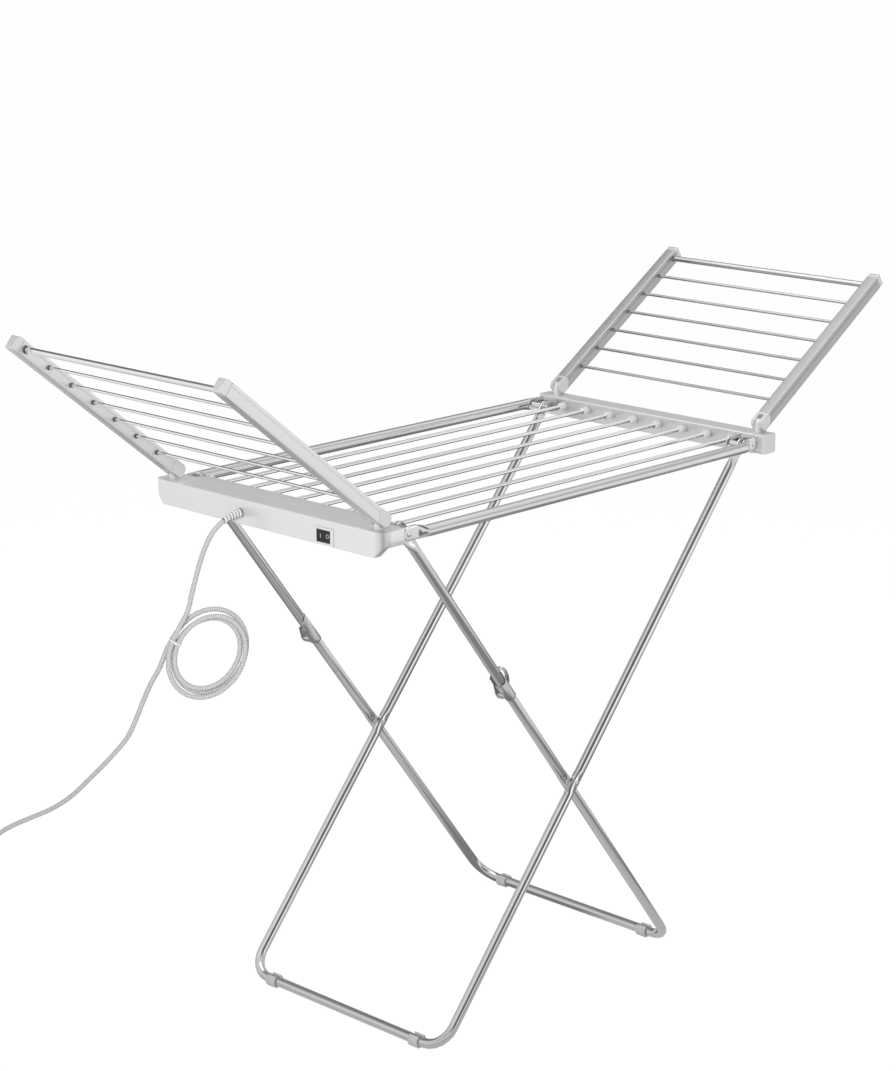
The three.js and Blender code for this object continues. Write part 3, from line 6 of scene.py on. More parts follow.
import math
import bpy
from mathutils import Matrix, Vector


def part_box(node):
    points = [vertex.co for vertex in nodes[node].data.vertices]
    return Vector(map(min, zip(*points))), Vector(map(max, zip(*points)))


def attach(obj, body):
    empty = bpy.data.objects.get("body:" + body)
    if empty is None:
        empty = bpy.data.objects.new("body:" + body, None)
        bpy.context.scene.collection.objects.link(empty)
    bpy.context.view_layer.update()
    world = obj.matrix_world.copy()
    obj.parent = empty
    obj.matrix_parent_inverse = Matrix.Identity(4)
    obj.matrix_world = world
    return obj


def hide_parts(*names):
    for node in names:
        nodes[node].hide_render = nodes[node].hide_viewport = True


bl_info = {
    "name": "Heated Clothes Airer",
    "version": (1, 0, 0),
    "blender": (4, 5, 0),
    "location": "View3D > Sidebar > Airer",
    "description": "Finishes and small parts of a folding clothes airer with heated bars",
    "category": "Object",
}

import bmesh
import bpy
from bpy.props import FloatProperty, FloatVectorProperty, IntProperty, PointerProperty
from mathutils import Matrix, Vector

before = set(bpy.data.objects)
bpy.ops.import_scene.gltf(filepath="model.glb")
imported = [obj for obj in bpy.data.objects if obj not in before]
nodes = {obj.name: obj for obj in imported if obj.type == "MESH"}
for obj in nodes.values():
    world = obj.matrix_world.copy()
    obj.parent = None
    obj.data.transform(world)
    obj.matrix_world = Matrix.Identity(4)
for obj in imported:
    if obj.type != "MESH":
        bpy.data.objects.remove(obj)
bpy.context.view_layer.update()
along_x = Vector((1, 0, 0))
upward = Vector((0, 0, 1))


def middle_of(node):
    low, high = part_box(node)
    return (low + high) / 2


# The tray is symmetrical about its own middle, which is not the middle of the whole object's box.
tray_middle = middle_of("rail_near").x


# Sizes and colours that the panel shows


def colour_property(name, description, default):
    return FloatVectorProperty(
        name=name, description=description, default=default, subtype="COLOR", size=3, min=0, max=1
    )


def length_property(name, description, default):
    return FloatProperty(
        name=name, description=description, default=default, min=0,
        subtype="DISTANCE", unit="LENGTH",
    )


class LeadSizes(bpy.types.PropertyGroup):
    """Sizes of the mains lead."""

    diameter: length_property("Diameter", "Outside diameter of the braided sleeve", 0.008)
    braid_pitch: length_property("Braid pitch", "Length of one repeat of the braid", 0.0028)
    sides: IntProperty(name="Sides", description="Sides of the lead's tube", default=14, min=6)


class AirerColours(bpy.types.PropertyGroup):
    """Colours of the finishes."""

    chrome: colour_property("Chrome", "Bright tube of the rails", (0.74, 0.74, 0.74))
    leg_tube: colour_property("Leg tube", "Drawn tube of the jointed leg", (0.64, 0.64, 0.635))
    bright_leg: colour_property("Bright leg", "Tube of the undivided frame", (0.64, 0.64, 0.635))
    rung_tube: colour_property("Rung tube", "Rungs of the right wing", (0.62, 0.62, 0.62))
    bright_rung: colour_property("Bright rung", "Rungs of the left wing", (0.88, 0.88, 0.88))
    zinc: colour_property("Zinc", "Pressed sheet of the brackets", (0.56, 0.56, 0.55))
    heated_tube: colour_property("Heated tube", "Bright tube of the bars", (0.9, 0.93, 0.96))
    aluminium: colour_property("Aluminium", "Extruded arms of the left wing", (0.82, 0.82, 0.825))
    # The right wing's arms are the same aluminium as the left's, darkened as painted shade
    dark_arm: colour_property("Dark arm", "Extruded arms of the right wing", (0.47, 0.47, 0.475))
    brushed: colour_property("Brushed", "Inner face of the plain housing", (0.78, 0.78, 0.78))
    silver_plastic: colour_property("Silver plastic", "Housings", (0.84, 0.84, 0.842))
    knuckle_plastic: colour_property("Knuckle", "Knuckles, end blocks, caps", (0.73, 0.73, 0.732))
    pale_plastic: colour_property("Pale plastic", "Sleeves, relief and plug", (0.84, 0.84, 0.84))
    black_plastic: colour_property("Black plastic", "Switch", (0.03, 0.032, 0.034))
    clip_plastic: colour_property("Clip plastic", "Floor clips", (0.6, 0.6, 0.6))
    # The left rungs' collars are real pieces, coloured near black as painted shade where the rungs
    # meet the arm
    collar_plastic: colour_property("Collars", "Collars of the left rungs", (0.12, 0.12, 0.12))
    tie_plastic: colour_property("Tie plastic", "Cable tie", (0.86, 0.86, 0.86))
    mark_plastic: colour_property("Mark plastic", "Marks on the rocker", (0.55, 0.56, 0.57))
    sleeve: colour_property("Sleeve", "Braided sleeve of the lead", (0.73, 0.73, 0.725))


# Shader building


def feed(tree, socket, value):
    """Links a socket to another's output, or sets it where it is given a plain value."""
    if isinstance(value, bpy.types.NodeSocket):
        tree.links.new(value, socket)
    else:
        socket.default_value = value


def add_node(tree, kind, values=(), **settings):
    node = tree.nodes.new(kind)
    for name, value in settings.items():
        setattr(node, name, value)
    for name, value in dict(values).items():
        feed(tree, node.inputs[name], value)
    return node


def maths(tree, operation, *values):
    node = add_node(tree, "ShaderNodeMath", dict(enumerate(values)), operation=operation)
    return node.outputs[0]


def vector_maths(tree, operation, *values):
    """A vector node's result: a vector where it normalises, and otherwise a number."""
    node = add_node(tree, "ShaderNodeVectorMath", dict(enumerate(values)), operation=operation)
    return node.outputs["Vector" if operation == "NORMALIZE" else "Value"]


def split_vector(tree, vector):
    return add_node(tree, "ShaderNodeSeparateXYZ", {"Vector": vector}).outputs


def object_place(tree):
    return add_node(tree, "ShaderNodeTexCoord").outputs["Object"]


def place_vector(tree, stretch):
    mapping = add_node(
        tree, "ShaderNodeMapping", {"Vector": object_place(tree), "Scale": stretch}
    )
    return mapping.outputs["Vector"]


# A noise's values crowd round a half, so a ramp starts and ends within their usual reach.
noise_reach = (0.3, 0.7)


def ramp(tree, value, low, high, source=noise_reach):
    ends = {"From Min": source[0], "From Max": source[1], "To Min": low, "To Max": high}
    node = add_node(tree, "ShaderNodeMapRange", {"Value": value, **ends})
    return node.outputs["Result"]


def shaded(colour, share):
    return tuple(value * share for value in colour)


def mix_colours(tree, factor, first, second, blend="MIX"):
    """Mixes two colours, each three numbers or a socket."""
    node = add_node(tree, "ShaderNodeMix", data_type="RGBA", blend_type=blend)
    feed(tree, node.inputs["Factor"], factor)
    sockets = [socket for socket in node.inputs if socket.type == "RGBA"]
    for socket, value in zip(sockets, (first, second)):
        feed(tree, socket, value if isinstance(value, bpy.types.NodeSocket) else (*value, 1))
    return next(socket for socket in node.outputs if socket.type == "RGBA")


def mix_values(tree, factor, first, second):
    node = add_node(tree, "ShaderNodeMix", {0: factor, 2: first, 3: second}, data_type="FLOAT")
    return node.outputs[0]


def bump(tree, shader, height, strength, distance):
    values = {"Strength": strength, "Distance": distance, "Height": height}
    node = add_node(tree, "ShaderNodeBump", values)
    feed(tree, shader.inputs["Normal"], node.outputs["Normal"])


def two_noises(name, first, second):
    """A group with two noises on one vector, each given as its output, scale and settings."""
    tree = bpy.data.node_groups.new(name, "ShaderNodeTree")
    tree.interface.new_socket("Vector", in_out="INPUT", socket_type="NodeSocketVector")
    for label, scale, _, _ in (first, second):
        socket = tree.interface.new_socket(
            f"{label} Scale", in_out="INPUT", socket_type="NodeSocketFloat"
        )
        socket.default_value = scale
    for _, _, output, _ in (first, second):
        tree.interface.new_socket(output, in_out="OUTPUT", socket_type="NodeSocketFloat")
    given, made = tree.nodes.new("NodeGroupInput"), tree.nodes.new("NodeGroupOutput")
    for label, _, output, settings in (first, second):
        noise = add_node(tree, "ShaderNodeTexNoise", settings)
        feed(tree, noise.inputs["Vector"], given.outputs["Vector"])
        feed(tree, noise.inputs["Scale"], given.outputs[f"{label} Scale"])
        feed(tree, made.inputs[output], noise.outputs["Fac"])
    return tree


def grain_group():
    """Fine moulded grain with a soft drift of tone."""
    return two_noises(
        "moulded_grain",
        ("Drift", 9.0, "Drift", {"Detail": 3.0, "Roughness": 0.5}),
        ("Grain", 900.0, "Height", {"Detail": 2.0, "Roughness": 0.6}),
    )


def handling_group():
    """Smudges and hairline streaks that break up the gloss of bright metal."""
    return two_noises(
        "handling_marks",
        ("Smudge", 14.0, "Smudge", {"Detail": 5.0, "Roughness": 0.65}),
        ("Streak", 240.0, "Streak", {"Detail": 2.0}),
    )


# Materials: each row is a material, its colour among the airer's, its range of roughness, and more

metal_finishes = (
    # how much of it is metal
    ("bright_chrome_tube", "chrome", (0.07, 0.16), 1.0),
    ("drawn_leg_tube", "leg_tube", (0.1, 0.2), 1.0),
    ("bright_leg_tube", "bright_leg", (0.05, 0.11), 1.0),
    ("thin_rung_tube", "rung_tube", (0.14, 0.26), 1.0),
    ("bright_rung_tube", "bright_rung", (0.04, 0.1), 1.0),
    ("zinc_plated_sheet", "zinc", (0.12, 0.22), 1.0),
    ("bright_heated_tube", "heated_tube", (0.08, 0.16), 1.0),
    ("satin_extrusion", "aluminium", (0.34, 0.46), 0.85),
    # the right wing's arms: the same aluminium, darkened as painted shade
    ("brushed_extrusion", "dark_arm", (0.34, 0.46), 0.8),
    ("brushed_aluminium", "brushed", (0.34, 0.46), 1.0),
)
plastic_finishes = (
    # its grain's scale and depth, how much of it is metal, and its specular level
    ("satin_silver_moulding", "silver_plastic", (0.28, 0.34), 1400, 0.000006, 0.4, 0.5),
    # the switch housing's moulding, with a painted dark reflection down its near corner
    ("cornered_moulding", "silver_plastic", (0.28, 0.34), 1400, 0.000006, 0.4, 0.5),
    ("knuckle_moulding", "knuckle_plastic", (0.34, 0.4), 1400, 0.000006, 0.3, 0.5),
    ("pale_moulding", "pale_plastic", (0.3, 0.42), 800, 0.00002, 0.0, 0.5),
    ("black_moulding", "black_plastic", (0.3, 0.42), 1600, 0.00002, 0.0, 0.2),
    ("floor_clip", "clip_plastic", (0.4, 0.5), 900, 0.00001, 0.0, 0.5),
    # the left rungs' collars: near black, painted shade at the rungs' ends
    ("rung_ferrule", "collar_plastic", (0.4, 0.5), 900, 0.00001, 0.0, 0.5),
    ("white_tie", "tie_plastic", (0.35, 0.45), 900, 0.00001, 0.0, 0.5),
    ("grey_mark", "mark_plastic", (0.4, 0.5), 900, 0.00001, 0.0, 0.5),
)
brushed_stretch = (60, 3, 60)
metal_drift = (0.93, 1.05)
metal_bump = (0.5, 0.00002)
plastic_drift = (0.97, 1.03)
plastic_bump = 0.6

# Painted shade on the heated bars' undersides: the band of height round their middle where it fades
# in, and how dark it is
underside_shade_band = (-0.0024, 0.0004)
underside_painted_shade = 0.42
# Painted dark reflection down the switch housing's near corner: its half width, the depth over
# which it fades out on the top face, and how dark it is
corner_reflection_reach = 0.02
corner_reflection_depth = (0.018, 0.034)
corner_reflection_darkness = 0.55

braid_crossing = (-0.8, 0.8)
# painted shade in the braid's gaps and painted light on its strands' crowns, as shares of the
# sleeve's colour
braid_painted_shade_and_light = (0.48, 1.26)
braid_roughness = (0.85, 0.6)
braid_bump = (0.8, 0.0004)
braid_around = 12

relief_ribs = 6
relief_root_depth = 0.0062
relief_roughness = 0.5
relief_groove = (-0.1, 0.9)
# how dark the painted shade in the relief's grooves is, as a share of its colour
painted_groove_shade = 0.16


def start_material(name, metallic, **fixed):
    """The node tree and the shader of a new material."""
    made = bpy.data.materials.new(name)
    made.use_nodes = True
    shader = made.node_tree.nodes["Principled BSDF"]
    shader.inputs["Metallic"].default_value = metallic
    for socket, value in fixed.items():
        shader.inputs[socket.replace("_", " ")].default_value = value
    return made.node_tree, shader


def drifting(tree, shader, mask, colour, drift, roughness):
    """Lets colour and gloss drift over the surface with a mask."""
    tone = mix_colours(tree, mask, shaded(colour, drift[0]), shaded(colour, drift[1]))
    feed(tree, shader.inputs["Base Color"], tone)
    feed(tree, shader.inputs["Roughness"], ramp(tree, mask, *roughness))


def metal(name, colour, roughness, share, group):
    tree, shader = start_material(name, share)
    stretch = brushed_stretch if name == "brushed_aluminium" else (1, 1, 1)
    vector = place_vector(tree, stretch)
    marks = add_node(tree, "ShaderNodeGroup", {}, node_tree=group)
    feed(tree, marks.inputs["Vector"], vector)
    drifting(tree, shader, marks.outputs["Smudge"], colour, metal_drift, roughness)
    bump(tree, shader, marks.outputs["Streak"], *metal_bump)
    return tree, shader.inputs["Base Color"]


def plastic(name, colour, roughness, scale, depth, share, specular, group):
    tree, shader = start_material(name, share, Specular_IOR_Level=specular)
    vector = place_vector(tree, (1, 1, 1))
    grain = add_node(tree, "ShaderNodeGroup", {}, node_tree=group)
    feed(tree, grain.inputs["Grain Scale"], scale)
    feed(tree, grain.inputs["Vector"], vector)
    drifting(tree, shader, grain.outputs["Drift"], colour, plastic_drift, roughness)
    bump(tree, shader, grain.outputs["Height"], plastic_bump, depth)
    return tree, shader.inputs["Base Color"]


def paint_underside_shade(tree, base, colour):
    """Paints shade on the heated bars: their colour is darker below their middle than above it."""
    middle = middle_of("heated_bar_1").z
    height = split_vector(tree, object_place(tree))["Z"]
    upper = ramp(tree, height, 0.0, 1.0, (middle + underside_shade_band[0], middle + underside_shade_band[1]))
    feed(tree, base, mix_colours(tree, upper, shaded(colour, underside_painted_shade), colour))


def paint_corner_reflection(tree, base):
    """Paints a dark reflection softly down the switch housing's near corner."""
    even = base.links[0].from_socket
    low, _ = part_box("switch_housing")
    parts = split_vector(tree, object_place(tree))
    difference = maths(tree, "SUBTRACT", parts["X"], parts["Y"])
    depth = maths(tree, "ADD", parts["X"], parts["Y"])
    across = maths(tree, "ABSOLUTE", maths(tree, "SUBTRACT", difference, low.x - low.y))
    start = low.x + low.y
    past_reach = ramp(tree, across, 0.0, 1.0, (0.0, corner_reflection_reach))
    past_depth = ramp(tree, depth, 0.0, 1.0, (start + corner_reflection_depth[0], start + corner_reflection_depth[1]))
    clear = maths(tree, "MAXIMUM", past_reach, past_depth)
    shade = mix_colours(tree, clear, (corner_reflection_darkness,) * 3, (1, 1, 1))
    feed(tree, base, mix_colours(tree, 1.0, even, shade, "MULTIPLY"))


def braid_material(name, colour):
    """Woven sleeve: two crossing sets of strands on the lead's own UV map, with shade painted in
    the gaps between them and light painted on their crowns.
    """
    tree, shader = start_material(name, 0.0)
    uv = split_vector(tree, add_node(tree, "ShaderNodeUVMap", uv_map="lead").outputs["UV"])
    waves = []
    for side in (1, -1):
        lean = maths(tree, "MULTIPLY_ADD", uv["X"], side, uv["Y"])
        waves.append(maths(tree, "SINE", maths(tree, "MULTIPLY", lean, math.pi)))
    mask = ramp(tree, maths(tree, "MULTIPLY", *waves), 0.0, 1.0, braid_crossing)
    tones = (shaded(colour, share) for share in braid_painted_shade_and_light)
    feed(tree, shader.inputs["Base Color"], mix_colours(tree, mask, *tones))
    feed(tree, shader.inputs["Roughness"], ramp(tree, mask, *braid_roughness))
    bump(tree, shader, mask, *braid_bump)


def ribbed_material(name, colour):
    """Pale flexible plastic with shade painted in the grooves between the strain relief's ribs."""
    tree, shader = start_material(name, 0.0, Roughness=relief_roughness)
    low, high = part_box("strain_relief")
    length = split_vector(tree, object_place(tree))["X"]
    ribbed = (high.x - relief_root_depth, low.x)
    turns = ramp(tree, length, 0.0, 2 * math.pi * relief_ribs, ribbed)
    groove = ramp(tree, maths(tree, "COSINE", turns), 0.0, 1.0, relief_groove)
    tone = mix_colours(tree, groove, colour, shaded(colour, painted_groove_shade))
    feed(tree, shader.inputs["Base Color"], tone)


def make_materials():
    colours = bpy.context.scene.airer_colours
    marks, grain = handling_group(), grain_group()
    for name, colour, *finish in metal_finishes:
        tone = tuple(getattr(colours, colour))
        tree, base = metal(name, tone, *finish, marks)
        if name == "bright_heated_tube":
            paint_underside_shade(tree, base, tone)
    for name, colour, *finish in plastic_finishes:
        tree, base = plastic(name, tuple(getattr(colours, colour)), *finish, grain)
        # the switch housing's moulding gets a painted dark reflection down its near corner
        if name == "cornered_moulding":
            paint_corner_reflection(tree, base)
    ribbed_material("ribbed_relief", tuple(colours.pale_plastic))
    braid_material("braided_sleeve", tuple(colours.sleeve))


def material_of(name):
    """A material by its name. The first call makes them all."""
    if "bright_chrome_tube" not in bpy.data.materials:
        make_materials()
    return bpy.data.materials[name]


# Finishing of the frame's own nodes

weld_distance = 0.00001
flat_angle = math.radians(1)
edge_angle = math.radians(32)
even_weight = 100
fine_edge = 0.0003
sheet_edge = 0.0002
arm_edge = 0.0004
moulded_edge = 0.0006


def soften(node, finish, radius, segments=2, flat_faces=False, second=None, is_second=None):
    """Gives a CAD node its finish, rounded edges and smooth shading."""
    piece = nodes[node]
    piece.data.materials.clear()
    piece.data.materials.append(material_of(finish))
    if second:
        piece.data.materials.append(material_of(second))
        for polygon in piece.data.polygons:
            polygon.material_index = int(is_second(polygon.center))
    for polygon in piece.data.polygons:
        polygon.use_smooth = True
    weld = piece.modifiers.new("weld", "WELD")
    weld.merge_threshold = weld_distance
    flat = piece.modifiers.new("flat", "DECIMATE")
    flat.decimate_type = "DISSOLVE"
    flat.angle_limit = flat_angle
    if radius:
        edge = piece.modifiers.new("edge", "BEVEL")
        edge.width = radius
        edge.segments = segments
        edge.limit_method = "ANGLE"
        edge.angle_limit = edge_angle
        edge.use_clamp_overlap = True
    sharp = piece.modifiers.new("sharp", "EDGE_SPLIT")
    sharp.split_angle = edge_angle
    if flat_faces:
        even = piece.modifiers.new("even", "WEIGHTED_NORMAL")
        even.weight = even_weight


def soften_all(rules):
    """Finishes the nodes whose names start as a rule says."""
    for start, *finish in rules:
        for node in nodes:
            if node.startswith(start):
                soften(node, *finish)


# The mains lead

coil_turns = 3
coil_steps = 24
coil_half_width = 0.064
coil_half_height = 0.076
coil_pitch_across = 0.010
coil_pitch_up = 0.015
coil_lean = 0.17
coil_layer = 0.009
coil_layer_change = 1 / 4
coil_start = math.radians(156)
coil_facing = math.radians(228.8)
coil_centre = Vector((-0.5523, 0.0755, 0.6692))
coil_normal = Vector((math.cos(coil_facing), math.sin(coil_facing), 0))
coil_across = Vector((-coil_normal.y, coil_normal.x, 0))
lead_diameter = 0.008
route_step = 0.004
tiny_turn = 0.001
tiny_span = 1e-9

relief_start = Vector((-0.4963, 0.057, 0.896))
relief_length = 0.034
relief_drop = 0.007
relief_gap = 0.0003

first_points = (
    (-0.5479, 0.0656, 0.8704),
    (-0.5555, 0.0732, 0.8485),
    (-0.5619, 0.0806, 0.8214),
    (-0.5667, 0.0864, 0.7943),
    (-0.5716, 0.0916, 0.7670),
    (-0.5768, 0.0951, 0.7420),
)
tail_points = (
    (-0.6017, 0.1382, 0.6450),
    (-0.6090, 0.1530, 0.6160),
    (-0.6136, 0.1675, 0.5847),
    (-0.6182, 0.1818, 0.5513),
    (-0.6226, 0.1988, 0.5184),
    (-0.6287, 0.2198, 0.4917),
    (-0.6342, 0.2455, 0.4641),
    (-0.6379, 0.2848, 0.4271),
    (-0.6416, 0.3297, 0.3870),
    (-0.6475, 0.3822, 0.3513),
    (-0.6568, 0.4376, 0.3213),
    (-0.6669, 0.4933, 0.2874),
    (-0.674, 0.533, 0.248),
    (-0.682, 0.570, 0.206),
    (-0.693, 0.604, 0.158),
    (-0.704, 0.630, 0.110),
    (-0.722, 0.656, 0.066),
    (-0.746, 0.678, 0.031),
    (-0.777, 0.694, 0.012),
)
plug_rear = Vector((-0.822, 0.704, 0.009))
plug_facing = math.radians(166)
plug_heading = Vector((math.cos(plug_facing), math.sin(plug_facing), 0))


def smoothstep(value, low, high):
    share = min(max((value - low) / (high - low), 0), 1)
    return share * share * (3 - 2 * share)


def coil_point(turn):
    """The coil's centre line, which winds inwards and then outwards, a layer behind."""
    half = coil_turns / 2
    depth = min(turn, coil_turns - turn)
    layer = smoothstep(turn, half - coil_layer_change, half + coil_layer_change)
    angle = coil_start + turn * 2 * math.pi
    up = (coil_half_height - coil_pitch_up * depth) * math.sin(angle)
    across = (coil_half_width - coil_pitch_across * depth) * math.cos(angle) + up * coil_lean
    return coil_centre + coil_across * across + upward * up - coil_normal * layer * coil_layer


def coil_lead(turn, distance):
    """A point straight out of one of the coil's ends."""
    inside = coil_point(tiny_turn) if turn == 0 else coil_point(turn - tiny_turn)
    away = (coil_point(turn) - inside).normalized()
    return coil_point(turn) + away * distance


def smooth_route(points, step):
    """Steps of about one length along the points, each on the cubic through the four nearest."""
    ends = [points[0] * 2 - points[1], *points, points[-1] * 2 - points[-2]]
    route = [points[0]]
    for index in range(1, len(ends) - 2):
        four = ends[index - 1 : index + 3]
        knots = [0.0]
        for first, second in zip(four, four[1:]):
            knots.append(knots[-1] + max((second - first).length, tiny_span) ** 0.5)
        count = max(1, round((four[2] - four[1]).length / step))
        for part in range(1, count + 1):
            place = knots[1] + (knots[2] - knots[1]) * part / count
            level = list(four)
            for reach in (1, 2, 3):
                level = [
                    level[i] * ((knots[i + reach] - place) / (knots[i + reach] - knots[i]))
                    + level[i + 1] * ((place - knots[i]) / (knots[i + reach] - knots[i]))
                    for i in range(len(four) - reach)
                ]
            route.append(level[0])
    return route


def lead_route():
    direction = Vector((-relief_length / 2, 0, -relief_drop)).normalized()
    tip = relief_start + Vector((-relief_length, 0, -relief_drop))
    start = tip + direction * relief_gap
    points = [start, start + direction * lead_diameter]
    points += [Vector(point) for point in first_points]
    points += [coil_lead(0, lead_diameter * count) for count in (3, 2, 1)]
    points += [coil_point(index / coil_steps) for index in range(coil_turns * coil_steps + 1)]
    points += [coil_lead(coil_turns, lead_diameter * count) for count in (1, 2, 3)]
    points += [Vector(point) for point in tail_points]
    points += [plug_rear - plug_heading * lead_diameter * count for count in (2, 1, 0)]
    return [point + along_x * tray_middle for point in smooth_route(points, route_step)]


def tube_piece(name, route, radius, sides, pitch):
    """A closed tube along a route, with a UV map that counts braid repeats."""
    build = bmesh.new()
    uv = build.loops.layers.uv.new("lead")
    last = len(route) - 1
    tangents = [
        (route[min(i + 1, last)] - route[max(i - 1, 0)]).normalized() for i in range(len(route))
    ]
    side = tangents[0].cross(upward).normalized()
    angles = [2 * math.pi * k / sides for k in range(sides)]
    rings = []
    travel = [0.0]
    for index, (point, tangent) in enumerate(zip(route, tangents)):
        side = (side - tangent * side.dot(tangent)).normalized()
        up = tangent.cross(side)
        rings.append([
            build.verts.new(point + (side * math.cos(a) + up * math.sin(a)) * radius)
            for a in angles
        ])
        if index:
            travel.append(travel[-1] + (point - route[index - 1]).length)
    for index, (ring, after) in enumerate(zip(rings, rings[1:])):
        for k in range(sides):
            beside = (k + 1) % sides
            face = build.faces.new((ring[k], ring[beside], after[beside], after[k]))
            face.smooth = True
            places = ((k, index), (k + 1, index), (k + 1, index + 1), (k, index + 1))
            for loop, (turn, along) in zip(face.loops, places):
                loop[uv].uv = (turn / sides * braid_around, travel[along] / pitch)
    build.faces.new(list(reversed(rings[0])))
    build.faces.new(rings[-1])
    bmesh.ops.recalc_face_normals(build, faces=build.faces)
    mesh = bpy.data.meshes.new(name)
    build.to_mesh(mesh)
    build.free()
    piece = bpy.data.objects.new(name, mesh)
    bpy.context.scene.collection.objects.link(piece)
    return piece, travel[-1]


class AIRER_OT_lead(bpy.types.Operator):
    """Winds the mains lead along its route, with its braided sleeve"""

    bl_idname = "airer.lead"
    bl_label = "Mains Lead"

    def execute(self, context):
        sizes = context.scene.airer_lead
        route = lead_route()
        lead, length = tube_piece(
            "mains_lead", route, sizes.diameter / 2, sizes.sides, sizes.braid_pitch
        )
        lead.data.materials.append(material_of("braided_sleeve"))
        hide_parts("cord_first", "cord_coil", "cord_tail")
        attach(lead, "tray")
        soften("plug", "pale_moulding", moulded_edge)
        return {"FINISHED"}


# Metal pieces: how a node's name starts, its material, its edge's radius and segments, flat faces

metal_rules = (
    ("rail_", "bright_chrome_tube", fine_edge),
    ("solid_frame", "bright_leg_tube", fine_edge),
    ("lower_frame", "drawn_leg_tube", fine_edge),
    ("upper_link_", "drawn_leg_tube", fine_edge),
    ("knee_bracket", "zinc_plated_sheet", sheet_edge),
    ("rung_left", "bright_rung_tube", 0),
    ("rung_right", "thin_rung_tube", 0),
    ("arm_left", "satin_extrusion", arm_edge, 2, True),
    # the right wing's arms take the aluminium darkened as painted shade
    ("arm_right", "brushed_extrusion", arm_edge, 2, True),
)
grommet_reach = 0.0265
bar_clear_radius = 0.0042


def grommet_test(node):
    """Tells a bar's moulded grommets from its tube by their distance from its ends."""
    low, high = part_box(node)
    middle = (low + high) / 2

    def test(place):
        near_end = min(place.x - low.x, high.x - place.x) < grommet_reach
        off_axis = math.hypot(place.y - middle.y, place.z - middle.z)
        return near_end and off_axis > bar_clear_radius

    return test


class AIRER_OT_metalwork(bpy.types.Operator):
    """Finishes rails, legs, links, brackets and bars"""

    bl_idname = "airer.metalwork"
    bl_label = "Metalwork"

    def execute(self, context):
        soften_all(metal_rules)
        for node in nodes:
            if node.startswith("heated_bar"):
                soften(
                    node, "bright_heated_tube", fine_edge,
                    second="pale_moulding", is_second=grommet_test(node),
                )
        return {"FINISHED"}


# Mouldings, with the same columns

moulding_rules = (
    ("switch_housing", "cornered_moulding", moulded_edge, 3, True),
    ("housing_cover", "satin_silver_moulding", moulded_edge, 3, True),
    ("end_block", "knuckle_moulding", moulded_edge, 3, True),
    ("knuckle", "knuckle_moulding", moulded_edge, 3, True),
    ("arm_cap", "knuckle_moulding", moulded_edge, 3, True),
    ("strain_relief", "ribbed_relief", sheet_edge),
    ("foot_", "floor_clip", fine_edge),
    ("terminal_strip", "pale_moulding", fine_edge),
    ("rocker_switch", "black_moulding", fine_edge),
)
face_skin = 0.0004
bezel_rim = 0.0042


def inner_face(node):
    """Tells the plain housing's brushed face, towards the bars, from its moulded shell."""
    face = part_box(node)[0].x + face_skin
    return lambda place: place.x < face


def well_test(node):
    """Tells the well round the rocker, and all behind the rim, from the switch's outer frame."""
    low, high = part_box(node)

    def test(place):
        in_width = low.y + bezel_rim < place.y < high.y - bezel_rim
        in_height = low.z + bezel_rim < place.z < high.z - bezel_rim
        return in_width and in_height and place.x > low.x + face_skin

    return test


class AIRER_OT_mouldings(bpy.types.Operator):
    """Finishes housings, end blocks, knuckles, caps, feet and the switch"""

    bl_idname = "airer.mouldings"
    bl_label = "Mouldings"

    def execute(self, context):
        soften_all(moulding_rules)
        soften(
            "plain_housing", "satin_silver_moulding", moulded_edge, 3, True,
            second="brushed_aluminium", is_second=inner_face("plain_housing"),
        )
        soften(
            "switch_bezel", "satin_silver_moulding", fine_edge,
            second="black_moulding", is_second=well_test("switch_bezel"),
        )
        return {"FINISHED"}


# Small pieces on the lead, the switch, the cover and the rungs

smooth_angle = math.radians(35)
bevel_angle = math.radians(50)
same_heading = 0.95

tie_middle = Vector((-0.6015, 0.1131, 0.6918))
tie_heading = Vector((-0.35, 0.31, -0.885)).normalized()
tie_reach = 0.02
tie_strands = 4
tie_sides = 20
tie_inside = lead_diameter / 2 + 0.00025
tie_width = 0.003
tie_thickness = 0.0009
tie_edge = 0.0002
tie_head = (0.0055, 0.0046, 0.0036)
tie_head_rim = 0.0009
tie_head_sink = 0.0006
tie_head_edge = 0.0003

mark_height = 0.0002
mark_stroke = 0.0011
mark_size = 0.0068
mark_line_place = 0.5
mark_line_rim = 0.00015
mark_line_edge = 0.00008
mark_ring_place = -0.42
mark_ring_sides = 28

screw_sides = 24
screw_radius = 0.0036
screw_depth = 0.0016
screw_rim = 0.0018
screw_sink = 0.0009
screw_edge = 0.0003
screw_span = 0.88
screw_places = (0.32, 0.68, 1.0)

collar_sides = 20
collar_length = 0.0022
collar_wall = 0.0011
collar_least_wall = 0.9
collar_play = 0.00015
collar_gap = 0.0001
collar_edge = 0.0003
thin_rungs = range(1, 7)
thick_rungs = (7,)


def deselect():
    bpy.ops.object.select_all(action="DESELECT")


def select_only(*pieces):
    deselect()
    for piece in pieces:
        piece.select_set(True)
    bpy.context.view_layer.objects.active = pieces[0]


def apply_place():
    bpy.ops.object.transform_apply(location=True, rotation=True, scale=True)


def settle(piece, name, finish, body):
    """Puts a piece's place into its mesh, and gives it its name, finish and body."""
    select_only(piece)
    apply_place()
    bpy.ops.object.shade_smooth_by_angle(angle=smooth_angle)
    piece.name = name
    piece.data.name = name
    piece.data.materials.clear()
    piece.data.materials.append(material_of(finish))
    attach(piece, body)


